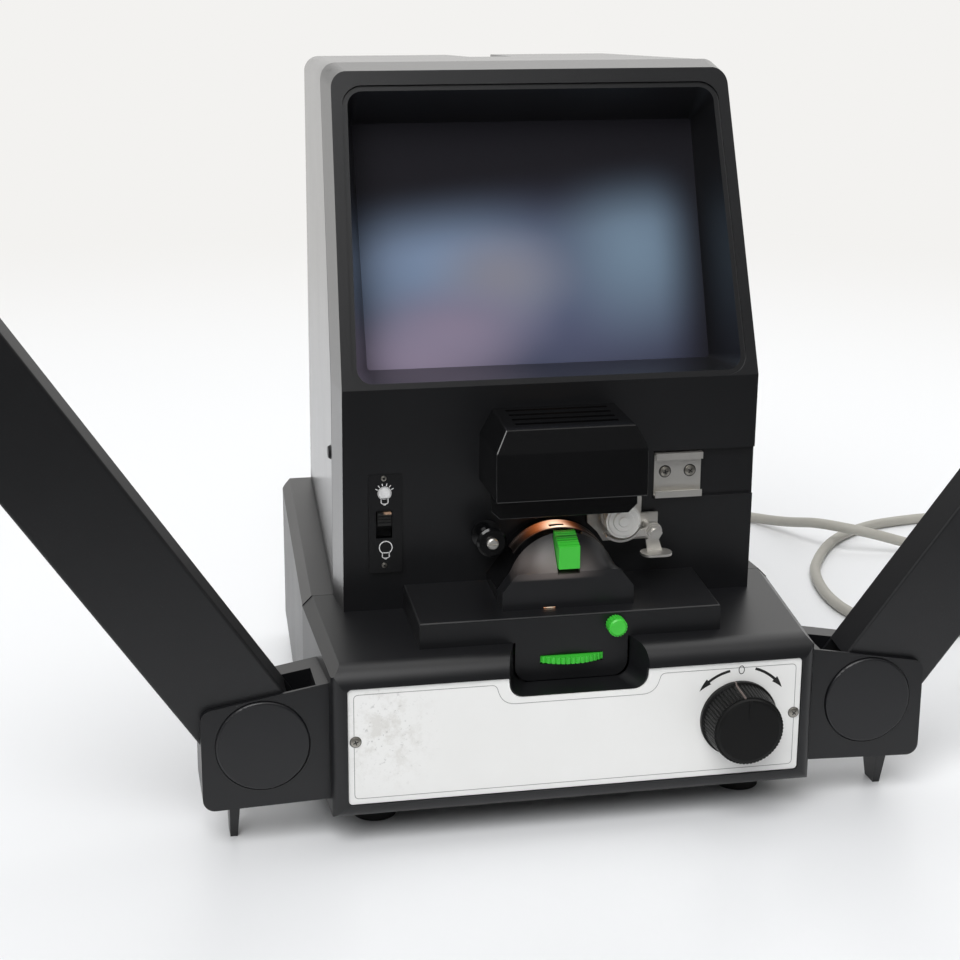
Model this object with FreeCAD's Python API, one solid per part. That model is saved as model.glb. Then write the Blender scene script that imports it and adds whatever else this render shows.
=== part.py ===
"""An 8 mm film editor viewer: a motorised table viewer with a large ground-glass screen,
a film gate under a lamp housing, and two fold-out reel arms.

Millimetres, +Z up, the front faces -Y. Every piece is drawn with y = 0 on the front of the white
front plate and z = 0 on the table, and is moved back by DEPTH_CENTRE when it is written, so that
the origin lies on the table in the middle of the object's width and depth.
"""
import FreeCAD
import Part
import math
import os
from FreeCAD import Vector as V

# Place of the origin
DEPTH_CENTRE = 111.75

# Base: a low case of two mouldings that meet at the parting plane
WALL = 2.5
BASE_BOTTOM = 13.2
BASE_FRONT = -0.8
PARTING_Y = 72.4
BASE_BACK = 255.0
BASE_HALF = 104.4
BASE_FRONT_TAPER = 0.045
BASE_BACK_TAPER = 0.058
BASE_TOP = 83.8
BASE_SLOPE = 0.0875
NOSE_RADIUS = 9.5
CORNER_RADIUS = 5.0
EDGE_CHAMFER = 4.0
PARTING_GAP = 0.3

# Hood: the tall viewing box above the base
HOOD_FRONT_LOW = 54.1
HOOD_LEAN = 0.0301
CREASE_Y = 51.2
CREASE_Z = 178.2
HOOD_TILT_DEG = 21.4
HOOD_FRONT_TOP_Y = 99.7
HOOD_FRONT_TOP_Z = 302.2
HOOD_HALF_LOW = 89.0
HOOD_HALF_CREASE = 88.8
HOOD_HALF_TOP = 85.3
RETURN_DEPTH = 18.4
FLARE = 0.1087
HOOD_BACK = 254.0
HOOD_BACK_TAPER = 0.066
TOP_FALL = 0.0508
HOOD_CORNER = 7.0

# Screen and its recess, measured up the tilted front from the crease
OPENING_LOW_HALF = 84.8
OPENING_TOP_HALF = 81.3
OPENING_TOP = 127.5
OPENING_RADIUS = 9.0
BEAD = 2.6
BEAD_DEPTH = 1.0
SCREEN_HALF = 74.7
SCREEN_LOW = 11.5
SCREEN_TOP = 117.0
SCREEN_DEPTH = 22.1
SCREEN_THICK = 3.0

# Front plate with the notch over the focus wheel
PLATE_HALF = 95.0
PLATE_LOW = 19.3
PLATE_TOP = 69.0
PLATE_THICK = 0.8
NOTCH_TOP_HALF = 31.3
NOTCH_LOW_HALF = 28.5
NOTCH_FLOOR = 60.6
NOTCH_BACK = 14.0
NOTCH_BACK_HALF = 24.4
NOTCH_WALL = 2.0

# Film path
BENCH_HALF = 63.5
BENCH_FRONT = 13.9
BENCH_BACK = 53.5
BENCH_TOP = 89.5
BENCH_SLOPE = 0.0819
DRUM_Z = 96.0
DRUM_RADIUS = 23.4
DRUM_FRONT = 32.0
FILM_Y = 43.7
FILM_WIDTH = 8.0
COVER_FRONT = 21.0
ROLLER_X = -28.9
ROLLER_Z = 114.6
SPROCKET_X = 27.5
SPROCKET_Z = 120.5
SPROCKET_RADIUS = 7.5
SPROCKET_TEETH = 12
PRISM_Z = 103.0
GEAR_TEETH = 24
LEVER_X = 41.2
LEVER_Z = 114.7
WHEEL_Y = 34.4
WHEEL_Z = 69.2
WHEEL_RADIUS = 23.9
COLLAR_RADIUS = 17.1
FRAMING_X = 18.0
FRAMING_Z = 84.5
BARREL_RADIUS = 7.6
RUNNING = 0.05
CLEAR = 0.3

# Lamp housing
LAMP_HALF = 31.5
LAMP_LOW = 137.7
LAMP_SHOULDER = 158.0
LAMP_TOP_Z = 166.8
LAMP_TOP_HALF = 26.9
LAMP_Z = 152.0
VENTS = 5

# Switch, accessory shoe and speed knob
SWITCH_X = -71.8
SWITCH_SLOT = (114.4, 126.2)
SHOE_LEFT = 44.8
SHOE_RIGHT = 65.5
SHOE_LOW = 125.8
SHOE_TOP = 145.3
CHANNEL_DEPTH = 1.8
KNOB_X = 68.0
KNOB_Z = 44.6

# Reel arms, drawn upright about the pivot and then leaned forward
PIVOT_X = 128.3
PIVOT_Y = 21.4
PIVOT_Z = 44.6
LEAN_DEG = 7.0
ARM_ANGLE_DEG = 57.0
ARM_HALF = 20.2
ARM_LENGTH = 232.0
ARM_THICK = 18.0
ARM_WALL = 2.0
PIN_RADIUS = 4.0
PULLEY_GROOVE = 9.0
ARM_BELT_GROOVE = 8.0
MOTOR_GROOVE = 4.0
MOTOR_X = -38.0
BELT_THICK = 2.0
HUB_RADIUS = 6.2
HUB_LENGTH = 17.0
REEL_TABLE_RADIUS = 17.0

# Pivot blocks at the sides of the base
BLOCK_FRONT = 7.9
BLOCK_BACK = 38.5
BLOCK_OUT = 152.9
BLOCK_LOW = 18.2
BLOCK_TOP_IN = 69.4
BLOCK_TOP_OUT = 60.3
CAP_RADIUS = 18.9

# Mains cord: it leaves the back, lies in a loose loop at the right, and ends in a stored coil
CORD = 6.0
CORD_X = 62.0
CORD_Z = 32.0
RELIEF_END = 288.0
ROUTE = [
    (CORD_X, RELIEF_END, CORD_Z), (62, 302, 32), (63, 317.5, 28), (65, 332, 19.5), (68, 346, 10), (73, 362, 4),
    (82, 379, 3), (97, 395, 3), (117, 407.5, 3), (140, 415, 3), (163, 417, 3), (183, 414, 3), (199, 406, 3),
    (213, 391.5, 3.4), (221, 373, 6.5), (226, 355, 11), (232, 338.5, 15.6), (244.5, 326.5, 15.6), (261.5, 320.5, 12.5),
    (279, 317, 7.5), (296.5, 311, 3.5), (316, 303.5, 3), (338.5, 302.5, 3), (358, 314.5, 3), (366, 336, 3),
    (359.8, 358, 3), (342, 372, 3), (319.5, 374, 3), (298, 370.5, 3), (279.5, 366, 3), (263, 356.5, 3),
    (248, 344.5, 3), (235, 328.5, 3), (223.5, 310, 3), (213.6, 290.7, 3), (207.7, 268, 3), (204.5, 244, 3),
    (206, 221, 3), (214, 200, 3), (230, 186.5, 3), (251, 182, 3), (273, 184.5, 3), (292, 189, 3), (308, 189, 3),
]
COIL_X = 314.0
COIL_Y = 150.0
COIL_OUTER = 39.0
COIL_PITCH = 6.8
COIL_RISE = 6.8
COIL_HALVES = 4
COIL_TAIL = 16.0
PLUG_GUARD = 20.0

SHAPES = {}


def polygon(points):
    """A closed wire through 3-D points."""
    return Part.makePolygon([V(*p) for p in points] + [V(*points[0])])


def extrude(points, along):
    return Part.Face(polygon(points)).extrude(V(*along))


def prism_x(outline, x0, x1):
    """A prism along X over an outline of (y, z) points."""
    return extrude([(x0, y, z) for y, z in outline], (x1 - x0, 0, 0))


def prism_y(outline, y0, y1):
    """A prism along Y over an outline of (x, z) points."""
    return extrude([(x, y0, z) for x, z in outline], (0, y1 - y0, 0))


def prism_z(outline, z0, z1):
    return extrude([(x, y, z0) for x, y in outline], (0, 0, z1 - z0))


def box(x0, x1, y0, y1, z0, z1):
    return Part.makeBox(x1 - x0, y1 - y0, z1 - z0, V(x0, y0, z0))


def rod_y(x, z, radius, y0, y1):
    return Part.makeCylinder(radius, y1 - y0, V(x, y0, z), V(0, 1, 0))


def rod_z(x, y, radius, z0, z1):
    return Part.makeCylinder(radius, z1 - z0, V(x, y, z0), V(0, 0, 1))


def join(*shapes):
    return shapes[0].multiFuse(list(shapes[1:])).removeSplitter()


def cut(shape, *tools):
    for tool in tools:
        shape = shape.cut(tool)
    return shape


def rounded_edges(points, radius):
    """Edges of a closed outline whose corners are arcs; radius is one number or one per corner."""
    corners = [V(*p) for p in points]
    count = len(corners)
    radii = [radius] * count if isinstance(radius, (int, float)) else radius
    ends = []
    for i, corner in enumerate(corners):
        back = (corners[i - 1] - corner).normalize()
        ahead = (corners[(i + 1) % count] - corner).normalize()
        half = math.acos(max(-1.0, min(1.0, back.dot(ahead)))) / 2
        inward = (back + ahead).normalize()
        centre = corner + inward * (radii[i] / math.sin(half))
        reach = radii[i] / math.tan(half)
        ends.append((corner + back * reach, centre - inward * radii[i], corner + ahead * reach))
    edges = []
    for i in range(count):
        start, middle, end = ends[i]
        if radii[i] > 0:
            edges.append(Part.Arc(start, middle, end).toShape())
        edges.append(Part.LineSegment(end, ends[(i + 1) % count][0]).toShape())
    return edges


def rounded(points, radius):
    return Part.Wire(rounded_edges(points, radius))


def slab(points, radius, along):
    """A plate with rounded corners."""
    return Part.Face(rounded(points, radius)).extrude(V(*along))


def loft(*wires):
    return Part.makeLoft(list(wires), True, True)


def turned_y(x, z, profile):
    """A solid of revolution about a line along Y; profile is a list of (radius, y) points."""
    face = Part.Face(polygon([(x + r, y, z) for r, y in profile]))
    return face.revolve(V(x, 0, z), V(0, 1, 0), 360)


def turned_z(x, y, profile):
    face = Part.Face(polygon([(x + r, y, z) for r, z in profile]))
    return face.revolve(V(x, y, 0), V(0, 0, 1), 360)


def star(count, outer, inner, tip=0.25, root=0.45):
    """Points of a round outline with teeth or ribs; tip and root are half widths, in pitches."""
    points = []
    for i in range(count):
        for shift, radius in ((-root, inner), (-tip, outer), (tip, outer), (root, inner)):
            angle = 2 * math.pi * (i + shift) / count
            points.append((radius * math.cos(angle), radius * math.sin(angle)))
    return points


def mirrored(shape):
    return shape.mirror(V(0, 0, 0), V(1, 0, 0))


def leaned(shape, x_sign=1):
    """Tip a shape drawn upright forward about the pivot line, mirrored to the left for -1."""
    shape = shape.copy()
    shape.rotate(V(0, PIVOT_Y, PIVOT_Z), V(1, 0, 0), LEAN_DEG)
    return shape if x_sign > 0 else mirrored(shape)


def keep(node, *solids):
    """Remember the solids of a node."""
    SHAPES[node] = list(solids)


def front_y(z):
    """The hood's front face at a height."""
    if z <= CREASE_Z:
        return HOOD_FRONT_LOW - HOOD_LEAN * (z - 81.8)
    return CREASE_Y + (z - CREASE_Z) * math.tan(math.radians(HOOD_TILT_DEG))


def front_half(z):
    if z <= CREASE_Z:
        return HOOD_HALF_LOW - 0.002 * (z - 82)
    fall = (HOOD_HALF_CREASE - HOOD_HALF_TOP) / (HOOD_FRONT_TOP_Z - CREASE_Z)
    return HOOD_HALF_CREASE - fall * (z - CREASE_Z)


def trapezoid(z, y0, half0, y1, half1):
    return polygon([(-half0, y0, z), (half0, y0, z), (half1, y1, z), (-half1, y1, z)])


def side_top_edges(shape, low_z):
    """Edges that run front to back along the top corners."""
    found = []
    for edge in shape.Edges:
        a, b = edge.Vertexes[0].Point, edge.Vertexes[-1].Point
        if min(a.z, b.z) > low_z and min(abs(a.x), abs(b.x)) > 60 and abs(a.y - b.y) > 10:
            found.append(edge)
    return found


def hood_front(inset=0.0):
    """The front moulding's part of the hood, solid; inset gives the hollow inside it."""
    beyond = 6.0 if inset else 0.0
    wires = []
    for z in (60.0 if inset else 76.0, CREASE_Z, 330.0):
        y0 = front_y(z) + inset
        y1 = front_y(z) + RETURN_DEPTH + beyond
        half0 = front_half(z) + FLARE * inset - inset
        half1 = front_half(z) + FLARE * (RETURN_DEPTH + beyond) - inset
        wires.append(trapezoid(z, y0, half0, y1, half1))
    body = join(loft(wires[0], wires[1]), loft(wires[1], wires[2]))
    top = HOOD_FRONT_TOP_Z - inset

    def roof(y):
        return top + FLARE * (y - HOOD_FRONT_TOP_Y)

    body = body.cut(prism_x([(0, roof(0)), (400, roof(400)), (400, 500), (0, 500)], -150, 150))
    return body.makeFillet(HOOD_CORNER - inset, side_top_edges(body, 285))


def hood_rear(inset=0.0):
    """The rear moulding's part of the hood."""
    wires = []
    for z in (60.0 if inset else 76.0, CREASE_Z, 330.0):
        y0 = front_y(z) + RETURN_DEPTH + (-6.0 if inset else PARTING_GAP)
        y1 = HOOD_BACK - inset
        halves = [
            HOOD_HALF_LOW + FLARE * RETURN_DEPTH - HOOD_BACK_TAPER * (y - PARTING_Y) - 0.003 * (z - 84) - inset
            for y in (y0, y1)
        ]
        wires.append(trapezoid(z, y0, halves[0], y1, halves[1]))
    body = join(loft(wires[0], wires[1]), loft(wires[1], wires[2]))
    top = HOOD_FRONT_TOP_Z + FLARE * RETURN_DEPTH - inset

    def roof(y):
        return top - TOP_FALL * (y - HOOD_FRONT_TOP_Y - RETURN_DEPTH)

    body = body.cut(prism_x([(0, roof(0)), (400, roof(400)), (400, 500), (0, 500)], -150, 150))
    return body.makeFillet(HOOD_CORNER - inset, side_top_edges(body, 285))


def base_top(y):
    return BASE_TOP - BASE_SLOPE * (PARTING_Y - y)


def base_half(y):
    if y <= PARTING_Y:
        return BASE_HALF - BASE_FRONT_TAPER * (PARTING_Y - y)
    return BASE_HALF - BASE_BACK_TAPER * (y - PARTING_Y)


def edge_wedges(y0, y1, top, chamfer, inset):
    """Two long wedges that take the top side edges off the base."""
    wedges = []
    reach = 3.0
    wires = []
    for y in (y0, y1):
        half = base_half(y) - inset
        z = top(y) - inset
        wires.append(
            polygon(
                [
                    (half - chamfer - reach, y, z + reach),
                    (half + reach, y, z - chamfer - reach),
                    (half + reach, y, z + reach),
                ]
            )
        )
    wedge = loft(*wires)
    wedges.append(wedge)
    wedges.append(mirrored(wedge))
    return wedges


def base_front(inset=0.0):
    """The front moulding's part of the base, with its rounded nose."""
    back = PARTING_Y + (6.0 if inset else 0.0)
    front = BASE_FRONT + inset
    slope = math.atan(BASE_SLOPE)
    centre_y = BASE_FRONT + NOSE_RADIUS
    centre_z = base_top(centre_y) - NOSE_RADIUS / math.cos(slope)
    radius = NOSE_RADIUS - inset

    def nose(angle):
        return V(0, centre_y - radius * math.cos(angle), centre_z + radius * math.sin(angle))

    end = nose(math.pi / 2 - slope)
    middle = nose((math.pi / 2 - slope) / 2)
    start = nose(0)
    corner = V(0, back, end.z + BASE_SLOPE * (back - end.y))
    floor = BASE_BOTTOM if not inset else 5.0
    foot = 5.0
    edges = [
        Part.Arc(start, middle, end).toShape(),
        Part.LineSegment(end, corner).toShape(),
        Part.LineSegment(corner, V(0, back, floor)).toShape(),
    ]
    if inset:
        edges.append(Part.LineSegment(V(0, back, floor), V(0, front, floor)).toShape())
        edges.append(Part.LineSegment(V(0, front, floor), start).toShape())
    else:
        bend = foot * (1 - math.sqrt(0.5))
        heel = V(0, front + foot, floor)
        toe = V(0, front, floor + foot)
        edges.append(Part.LineSegment(V(0, back, floor), heel).toShape())
        edges.append(Part.Arc(heel, V(0, front + bend, floor + bend), toe).toShape())
        edges.append(Part.LineSegment(toe, start).toShape())
    side = Part.Face(Part.Wire(edges)).extrude(V(240, 0, 0))
    side.translate(V(-120, 0, 0))
    half0 = base_half(BASE_FRONT) - inset
    half1 = BASE_HALF + BASE_FRONT_TAPER * (back - PARTING_Y) - inset
    plan = [(-half0, front, 0), (half0, front, 0), (half1, back, 0), (-half1, back, 0)]
    corner_radius = CORNER_RADIUS - 0.8 * inset
    body = side.common(slab(plan, [corner_radius, corner_radius, 0, 0], (0, 0, 120)))
    chamfer = EDGE_CHAMFER - 0.56 * inset
    return cut(body, *edge_wedges(-10, back + 5, base_top, chamfer, inset))


def base_rear(inset=0.0):
    """The rear moulding's part of the base."""
    front = PARTING_Y + (-6.0 if inset else PARTING_GAP)
    back = BASE_BACK - inset
    half0 = BASE_HALF - BASE_BACK_TAPER * (front - PARTING_Y) - inset
    half1 = BASE_HALF - BASE_BACK_TAPER * (BASE_BACK - PARTING_Y) - inset
    plan = [(-half0, front), (half0, front), (half1, back), (-half1, back)]
    floor = BASE_BOTTOM if not inset else 5.0
    corner_radius = CORNER_RADIUS - 0.8 * inset
    body = slab(
        [(x, y, floor) for x, y in plan],
        [0, 0, corner_radius, corner_radius],
        (0, 0, BASE_TOP - inset - floor),
    )

    def flat_top(_):
        return BASE_TOP

    chamfer = EDGE_CHAMFER - 0.56 * inset
    return cut(body, *edge_wedges(PARTING_Y, BASE_BACK + 10, flat_top, chamfer, inset))


def on_front(x, up, out=0.0):
    """A point of the tilted front: x, the distance up from the crease, and out of the face."""
    tilt = math.radians(HOOD_TILT_DEG)
    y = CREASE_Y + up * math.sin(tilt) - out * math.cos(tilt)
    z = CREASE_Z + up * math.cos(tilt) + out * math.sin(tilt)
    return (x, y, z)


def opening_wire(margin, out):
    """The outline of the screen opening, grown by a margin."""
    rise = (OPENING_LOW_HALF - OPENING_TOP_HALF) / OPENING_TOP
    low = -margin
    high = OPENING_TOP + margin
    points = [
        on_front(-(OPENING_LOW_HALF - rise * low + margin), low, out),
        on_front(OPENING_LOW_HALF - rise * low + margin, low, out),
        on_front(OPENING_LOW_HALF - rise * high + margin, high, out),
        on_front(-(OPENING_LOW_HALF - rise * high + margin), high, out),
    ]
    return rounded(points, OPENING_RADIUS + margin)


def screen_wire(margin, out, radius=1.5):
    points = [
        on_front(-SCREEN_HALF - margin, SCREEN_LOW - margin, out),
        on_front(SCREEN_HALF + margin, SCREEN_LOW - margin, out),
        on_front(SCREEN_HALF + margin, SCREEN_TOP + margin, out),
        on_front(-SCREEN_HALF - margin, SCREEN_TOP + margin, out),
    ]
    return rounded(points, radius)


def notch_wire(y, top_half, low_half, floor, margin):
    points = [
        (-top_half - margin, y, 95.0),
        (-low_half - margin, y, floor - margin),
        (low_half + margin, y, floor - margin),
        (top_half + margin, y, 95.0),
    ]
    return rounded(points, [0, 6.0 + margin, 6.0 + margin, 0])


def notch(margin, y0, y1):
    """The pocket over the focus wheel, which narrows towards the back."""
    share0 = (y0 - BASE_FRONT) / (NOTCH_BACK - BASE_FRONT)
    share1 = (y1 - BASE_FRONT) / (NOTCH_BACK - BASE_FRONT)
    wires = []
    for y, share in ((y0, share0), (y1, share1)):
        top_half = NOTCH_TOP_HALF + (NOTCH_BACK_HALF + 0.5 - NOTCH_TOP_HALF) * share
        low_half = NOTCH_LOW_HALF + (NOTCH_BACK_HALF - NOTCH_LOW_HALF) * share
        floor = NOTCH_FLOOR + 0.7 * share
        wires.append(notch_wire(y, top_half, low_half, floor, margin))
    return loft(*wires)


def top_recess(rear):
    """A shallow finger dip at the back edge of the top, on a thicker patch of the wall."""
    def roof(y, drop):
        return HOOD_FRONT_TOP_Z + FLARE * RETURN_DEPTH - drop - TOP_FALL * (y - HOOD_FRONT_TOP_Y - RETURN_DEPTH)

    outlines = []
    for y in (205.0, HOOD_BACK + 2.0):
        outlines.append(polygon([(-8, y, roof(y, -3)), (-8, y, roof(y, 0)), (14.0, y, roof(y, 2.0)), (15.0, y, roof(y, -3))]))
    patches = [polygon([(-12, y, roof(y, 1)), (18, y, roof(y, 1)), (18, y, roof(y, 4.2)), (-12, y, roof(y, 4.2))])
               for y in (200.0, HOOD_BACK - 1)]
    return join(rear, loft(*patches)).cut(loft(*outlines))


def build_housings():
    """The two case mouldings as thin shells, with their openings."""
    front_outer = join(base_front(), hood_front())
    rear_outer = join(base_rear(), hood_rear())
    front = front_outer.cut(join(base_front(WALL), hood_front(WALL)))
    rear = rear_outer.cut(join(base_rear(WALL), hood_rear(WALL)))

    funnel = loft(opening_wire(-BEAD + 2.0, -0.5), screen_wire(2.0, -SCREEN_DEPTH))
    pocket = notch(NOTCH_WALL, BASE_FRONT + 1.5, NOTCH_BACK).common(base_front())
    front = join(front, funnel, pocket)
    recess = loft(opening_wire(-BEAD, 4.0), opening_wire(-BEAD, -BEAD_DEPTH))
    well = loft(opening_wire(-BEAD, -BEAD_DEPTH), screen_wire(0.0, -SCREEN_DEPTH - 0.01))
    bead = loft(opening_wire(0.0, 3.0), opening_wire(-0.5, -BEAD_DEPTH))
    front = cut(front, bead, recess, well, notch(0.0, BASE_FRONT - 3, NOTCH_BACK + 4))

    plate_seat = slab(
        [(-PLATE_HALF - 0.3, -3, PLATE_LOW - 0.3), (PLATE_HALF + 0.3, -3, PLATE_LOW - 0.3),
         (PLATE_HALF + 0.3, -3, PLATE_TOP + 0.3), (-PLATE_HALF - 0.3, -3, PLATE_TOP + 0.3)],
        2.0, (0, 3 + PLATE_THICK, 0))
    channel_y = front_y(135.0) + CHANNEL_DEPTH
    channel = box(SHOE_LEFT - 0.8, 110, 40, channel_y, SHOE_LOW - 0.5, SHOE_TOP + 1.0)
    lamp_hole = rod_y(0, LAMP_Z, 8.3, 45, 60)
    axle_hole = rod_y(ROLLER_X, ROLLER_Z, 1.6, 45, 60)
    shaft_hole = rod_y(SPROCKET_X, SPROCKET_Z, 3.0 + RUNNING, 45, 60)
    prism_hole = rod_y(0, PRISM_Z, 3.0 + RUNNING, 45, 60)
    switch_hole = box(SWITCH_X - 3.4, SWITCH_X + 3.4, 45, 60, *SWITCH_SLOT)
    knob_hole = rod_y(KNOB_X, KNOB_Z, 4.2, -5, 10)
    lens_hole = rod_z(0, WHEEL_Y, COLLAR_RADIUS + 0.4, 70, 95)
    belt_windows = box(-120, 120, 12.0, 28.0, 32.0, 58.0)
    front = cut(front, plate_seat, channel, lamp_hole, axle_hole, shaft_hole, prism_hole)
    front = cut(front, switch_hole, knob_hole, lens_hole, belt_windows)
    backing = box(SHOE_LEFT - 4, 89.5, front_y(135.0) + WALL, channel_y + WALL, SHOE_LOW - 4, SHOE_TOP + 4)
    front = join(front, backing.common(hood_front()))
    for x, y in ((-90, 62), (90, 62)):
        front = join(front, rod_z(x, y, 4.5, BASE_BOTTOM + WALL, 81))

    cord_hole = rod_y(CORD_X, CORD_Z, 5.6, 240, 260)
    vents = [box(x - 1.2, x + 1.2, 240, 260, 96, 126) for x in range(-30, 31, 10)]
    rear = cut(rear, cord_hole, *vents)
    rear = top_recess(rear)
    for x, y in ((-82, 240), (82, 240)):
        rear = join(rear, rod_z(x, y, 4.5, BASE_BOTTOM + WALL, 82.5))
    keep("front_housing", front)
    keep("rear_housing", rear)
    return front_outer


def build_bottom():
    """Bottom plate with the motor saddle and mirror supports, feet, and the screws from below."""
    inset = WALL + 0.2
    plan = [
        (-base_half(0) + inset + 1, BASE_FRONT + inset + 2), (base_half(0) - inset - 1, BASE_FRONT + inset + 2),
        (BASE_HALF - inset, PARTING_Y), (base_half(BASE_BACK) - inset, BASE_BACK - inset),
        (-base_half(BASE_BACK) + inset, BASE_BACK - inset), (-BASE_HALF + inset, PARTING_Y),
    ]
    radii = [0, 0, 0, 4.0, 4.0, 0]
    plate = slab([(x, y, BASE_BOTTOM) for x, y in plan], radii, (0, 0, WALL))
    top = BASE_BOTTOM + WALL
    wedge = prism_x([(33, top - 1), (33, 54), (88 - top, top - 1)], -15, 15)
    wedge = cut(wedge, box(-20, 20, 20, 38, 66, 90))
    saddle = box(MOTOR_X - 12, MOTOR_X + 12, 30, 58, top - 1, PIVOT_Z - 4)
    motor_room = leaned(rod_y(MOTOR_X, PIVOT_Z, 14.0, 20, 80))
    saddle = saddle.cut(motor_room)
    lean = math.radians(27.4)
    braces = []
    for x in (-46, 42):
        foot_y = 222 - 34 * math.tan(lean) + 2.5
        head = [(foot_y, top - 1), (foot_y + 66 * math.tan(lean), top + 65), (246, top + 65), (246, top - 1)]
        braces.append(prism_x(head, x, x + 4))
    plate = join(plate, wedge, saddle, *braces)
    places = [(-80, 32), (80, 32), (-76, 224), (76, 224)]
    feet = []
    screws = []
    for x, y in places:
        foot = turned_z(x, y, [(0, 1.2), (3.5, 1.2), (3.5, 0), (9, 0), (10.5, BASE_BOTTOM), (0, BASE_BOTTOM)])
        feet.append(foot)
    for x, y in ((-90, 62), (90, 62), (-82, 240), (82, 240)):
        screws.append(turned_z(x, y, [(0, 11.4), (3.4, 11.4), (3.4, BASE_BOTTOM), (0, BASE_BOTTOM)]))
    side_y = PARTING_Y + 4.5
    for sign in (-1, 1):
        face_x = HOOD_HALF_LOW + FLARE * RETURN_DEPTH - HOOD_BACK_TAPER * 4.5 - 0.003 * (146 - 84)
        head = Part.makeCone(3.3, 2.4, 1.4, V(face_x - 0.2, side_y, 146), V(1, 0, 0))
        head = head.cut(hood_rear())
        screws.append(head if sign > 0 else mirrored(head))
    keep("bottom_plate", plate)
    keep("rubber_feet", *feet)
    keep("housing_screws", *screws)


def build_front_plate():
    outline = [
        (-PLATE_HALF, PLATE_LOW), (PLATE_HALF, PLATE_LOW), (PLATE_HALF, PLATE_TOP), (-PLATE_HALF, PLATE_TOP),
    ]
    plate = slab([(x, 0, z) for x, z in outline], 1.6, (0, PLATE_THICK, 0))
    gap = loft(
        notch_wire(-2, NOTCH_TOP_HALF, NOTCH_LOW_HALF, NOTCH_FLOOR, 0.2),
        notch_wire(2, NOTCH_TOP_HALF, NOTCH_LOW_HALF, NOTCH_FLOOR, 0.2),
    )
    plate = cut(plate, gap, rod_y(KNOB_X, KNOB_Z, 5.0, -2, 2))
    keep("front_plate", plate)


def screw_head(x, y, z, radius, height):
    """A domed head that faces -Y and rests on the plane y."""
    return turned_y(x, z, [(0, y), (radius, y), (radius * 0.9, y - height * 0.7), (radius * 0.5, y - height), (0, y - height)])


def build_screen():
    glass = loft(screen_wire(2.0, -SCREEN_DEPTH), screen_wire(2.0, -SCREEN_DEPTH - SCREEN_THICK))
    keep("screen", glass)


def build_panel_parts(front_outer):
    """Switch plate and slider, accessory shoe, and the small screws on the front."""
    slot_low, slot_top = SWITCH_SLOT
    plate = slab(
        [(-78.2, 52.0, 99.4), (-64.2, 52.0, 99.4), (-64.2, 52.0, 142.1), (-78.2, 52.0, 142.1)], 0.8, (0, 3, 0)
    )
    plate = cut(plate, front_outer, box(SWITCH_X - 3.4, SWITCH_X + 3.4, 50, 56, slot_low, slot_top))
    keep("switch_plate", plate)
    slider = box(SWITCH_X - 2.9, SWITCH_X + 2.9, 50.2, 57, 120.4, 125.8)
    grips = [box(SWITCH_X - 4, SWITCH_X + 4, 50, 50.6, z, z + 0.6) for z in (121.6, 122.9, 124.2)]
    keep("lamp_switch", cut(slider, *grips))
    body = box(SWITCH_X - 7, SWITCH_X + 7, 57.4, 68, 108, 133)
    keep("switch_body", body)

    floor = front_y(135.0) + CHANNEL_DEPTH
    sheet = 0.8
    rail_front = floor - 3.6
    profile = [
        (floor, SHOE_LOW), (floor, SHOE_TOP), (rail_front, SHOE_TOP), (rail_front, SHOE_TOP - 2.9),
        (rail_front + sheet, SHOE_TOP - 2.9), (rail_front + sheet, SHOE_TOP - sheet), (floor - sheet, SHOE_TOP - sheet),
        (floor - sheet, SHOE_LOW + sheet), (rail_front + sheet, SHOE_LOW + sheet), (rail_front + sheet, SHOE_LOW + 2.9),
        (rail_front, SHOE_LOW + 2.9), (rail_front, SHOE_LOW),
    ]
    keep("accessory_shoe", prism_x(profile, SHOE_LEFT, SHOE_RIGHT))

    screws = []
    for x in (49.6, 60.6):
        screws.append(screw_head(x, floor - sheet, 136.8, 2.4, 1.1))
    for z in (140.4, 102.6):
        screws.append(screw_head(SWITCH_X, 52.0, z, 1.2, 0.5))
    for x, z in ((-92.0, 46.5), (92.4, 44.9)):
        screws.append(screw_head(x, 0, z, 2.2, 0.9))
    keep("panel_screws", *screws)


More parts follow.
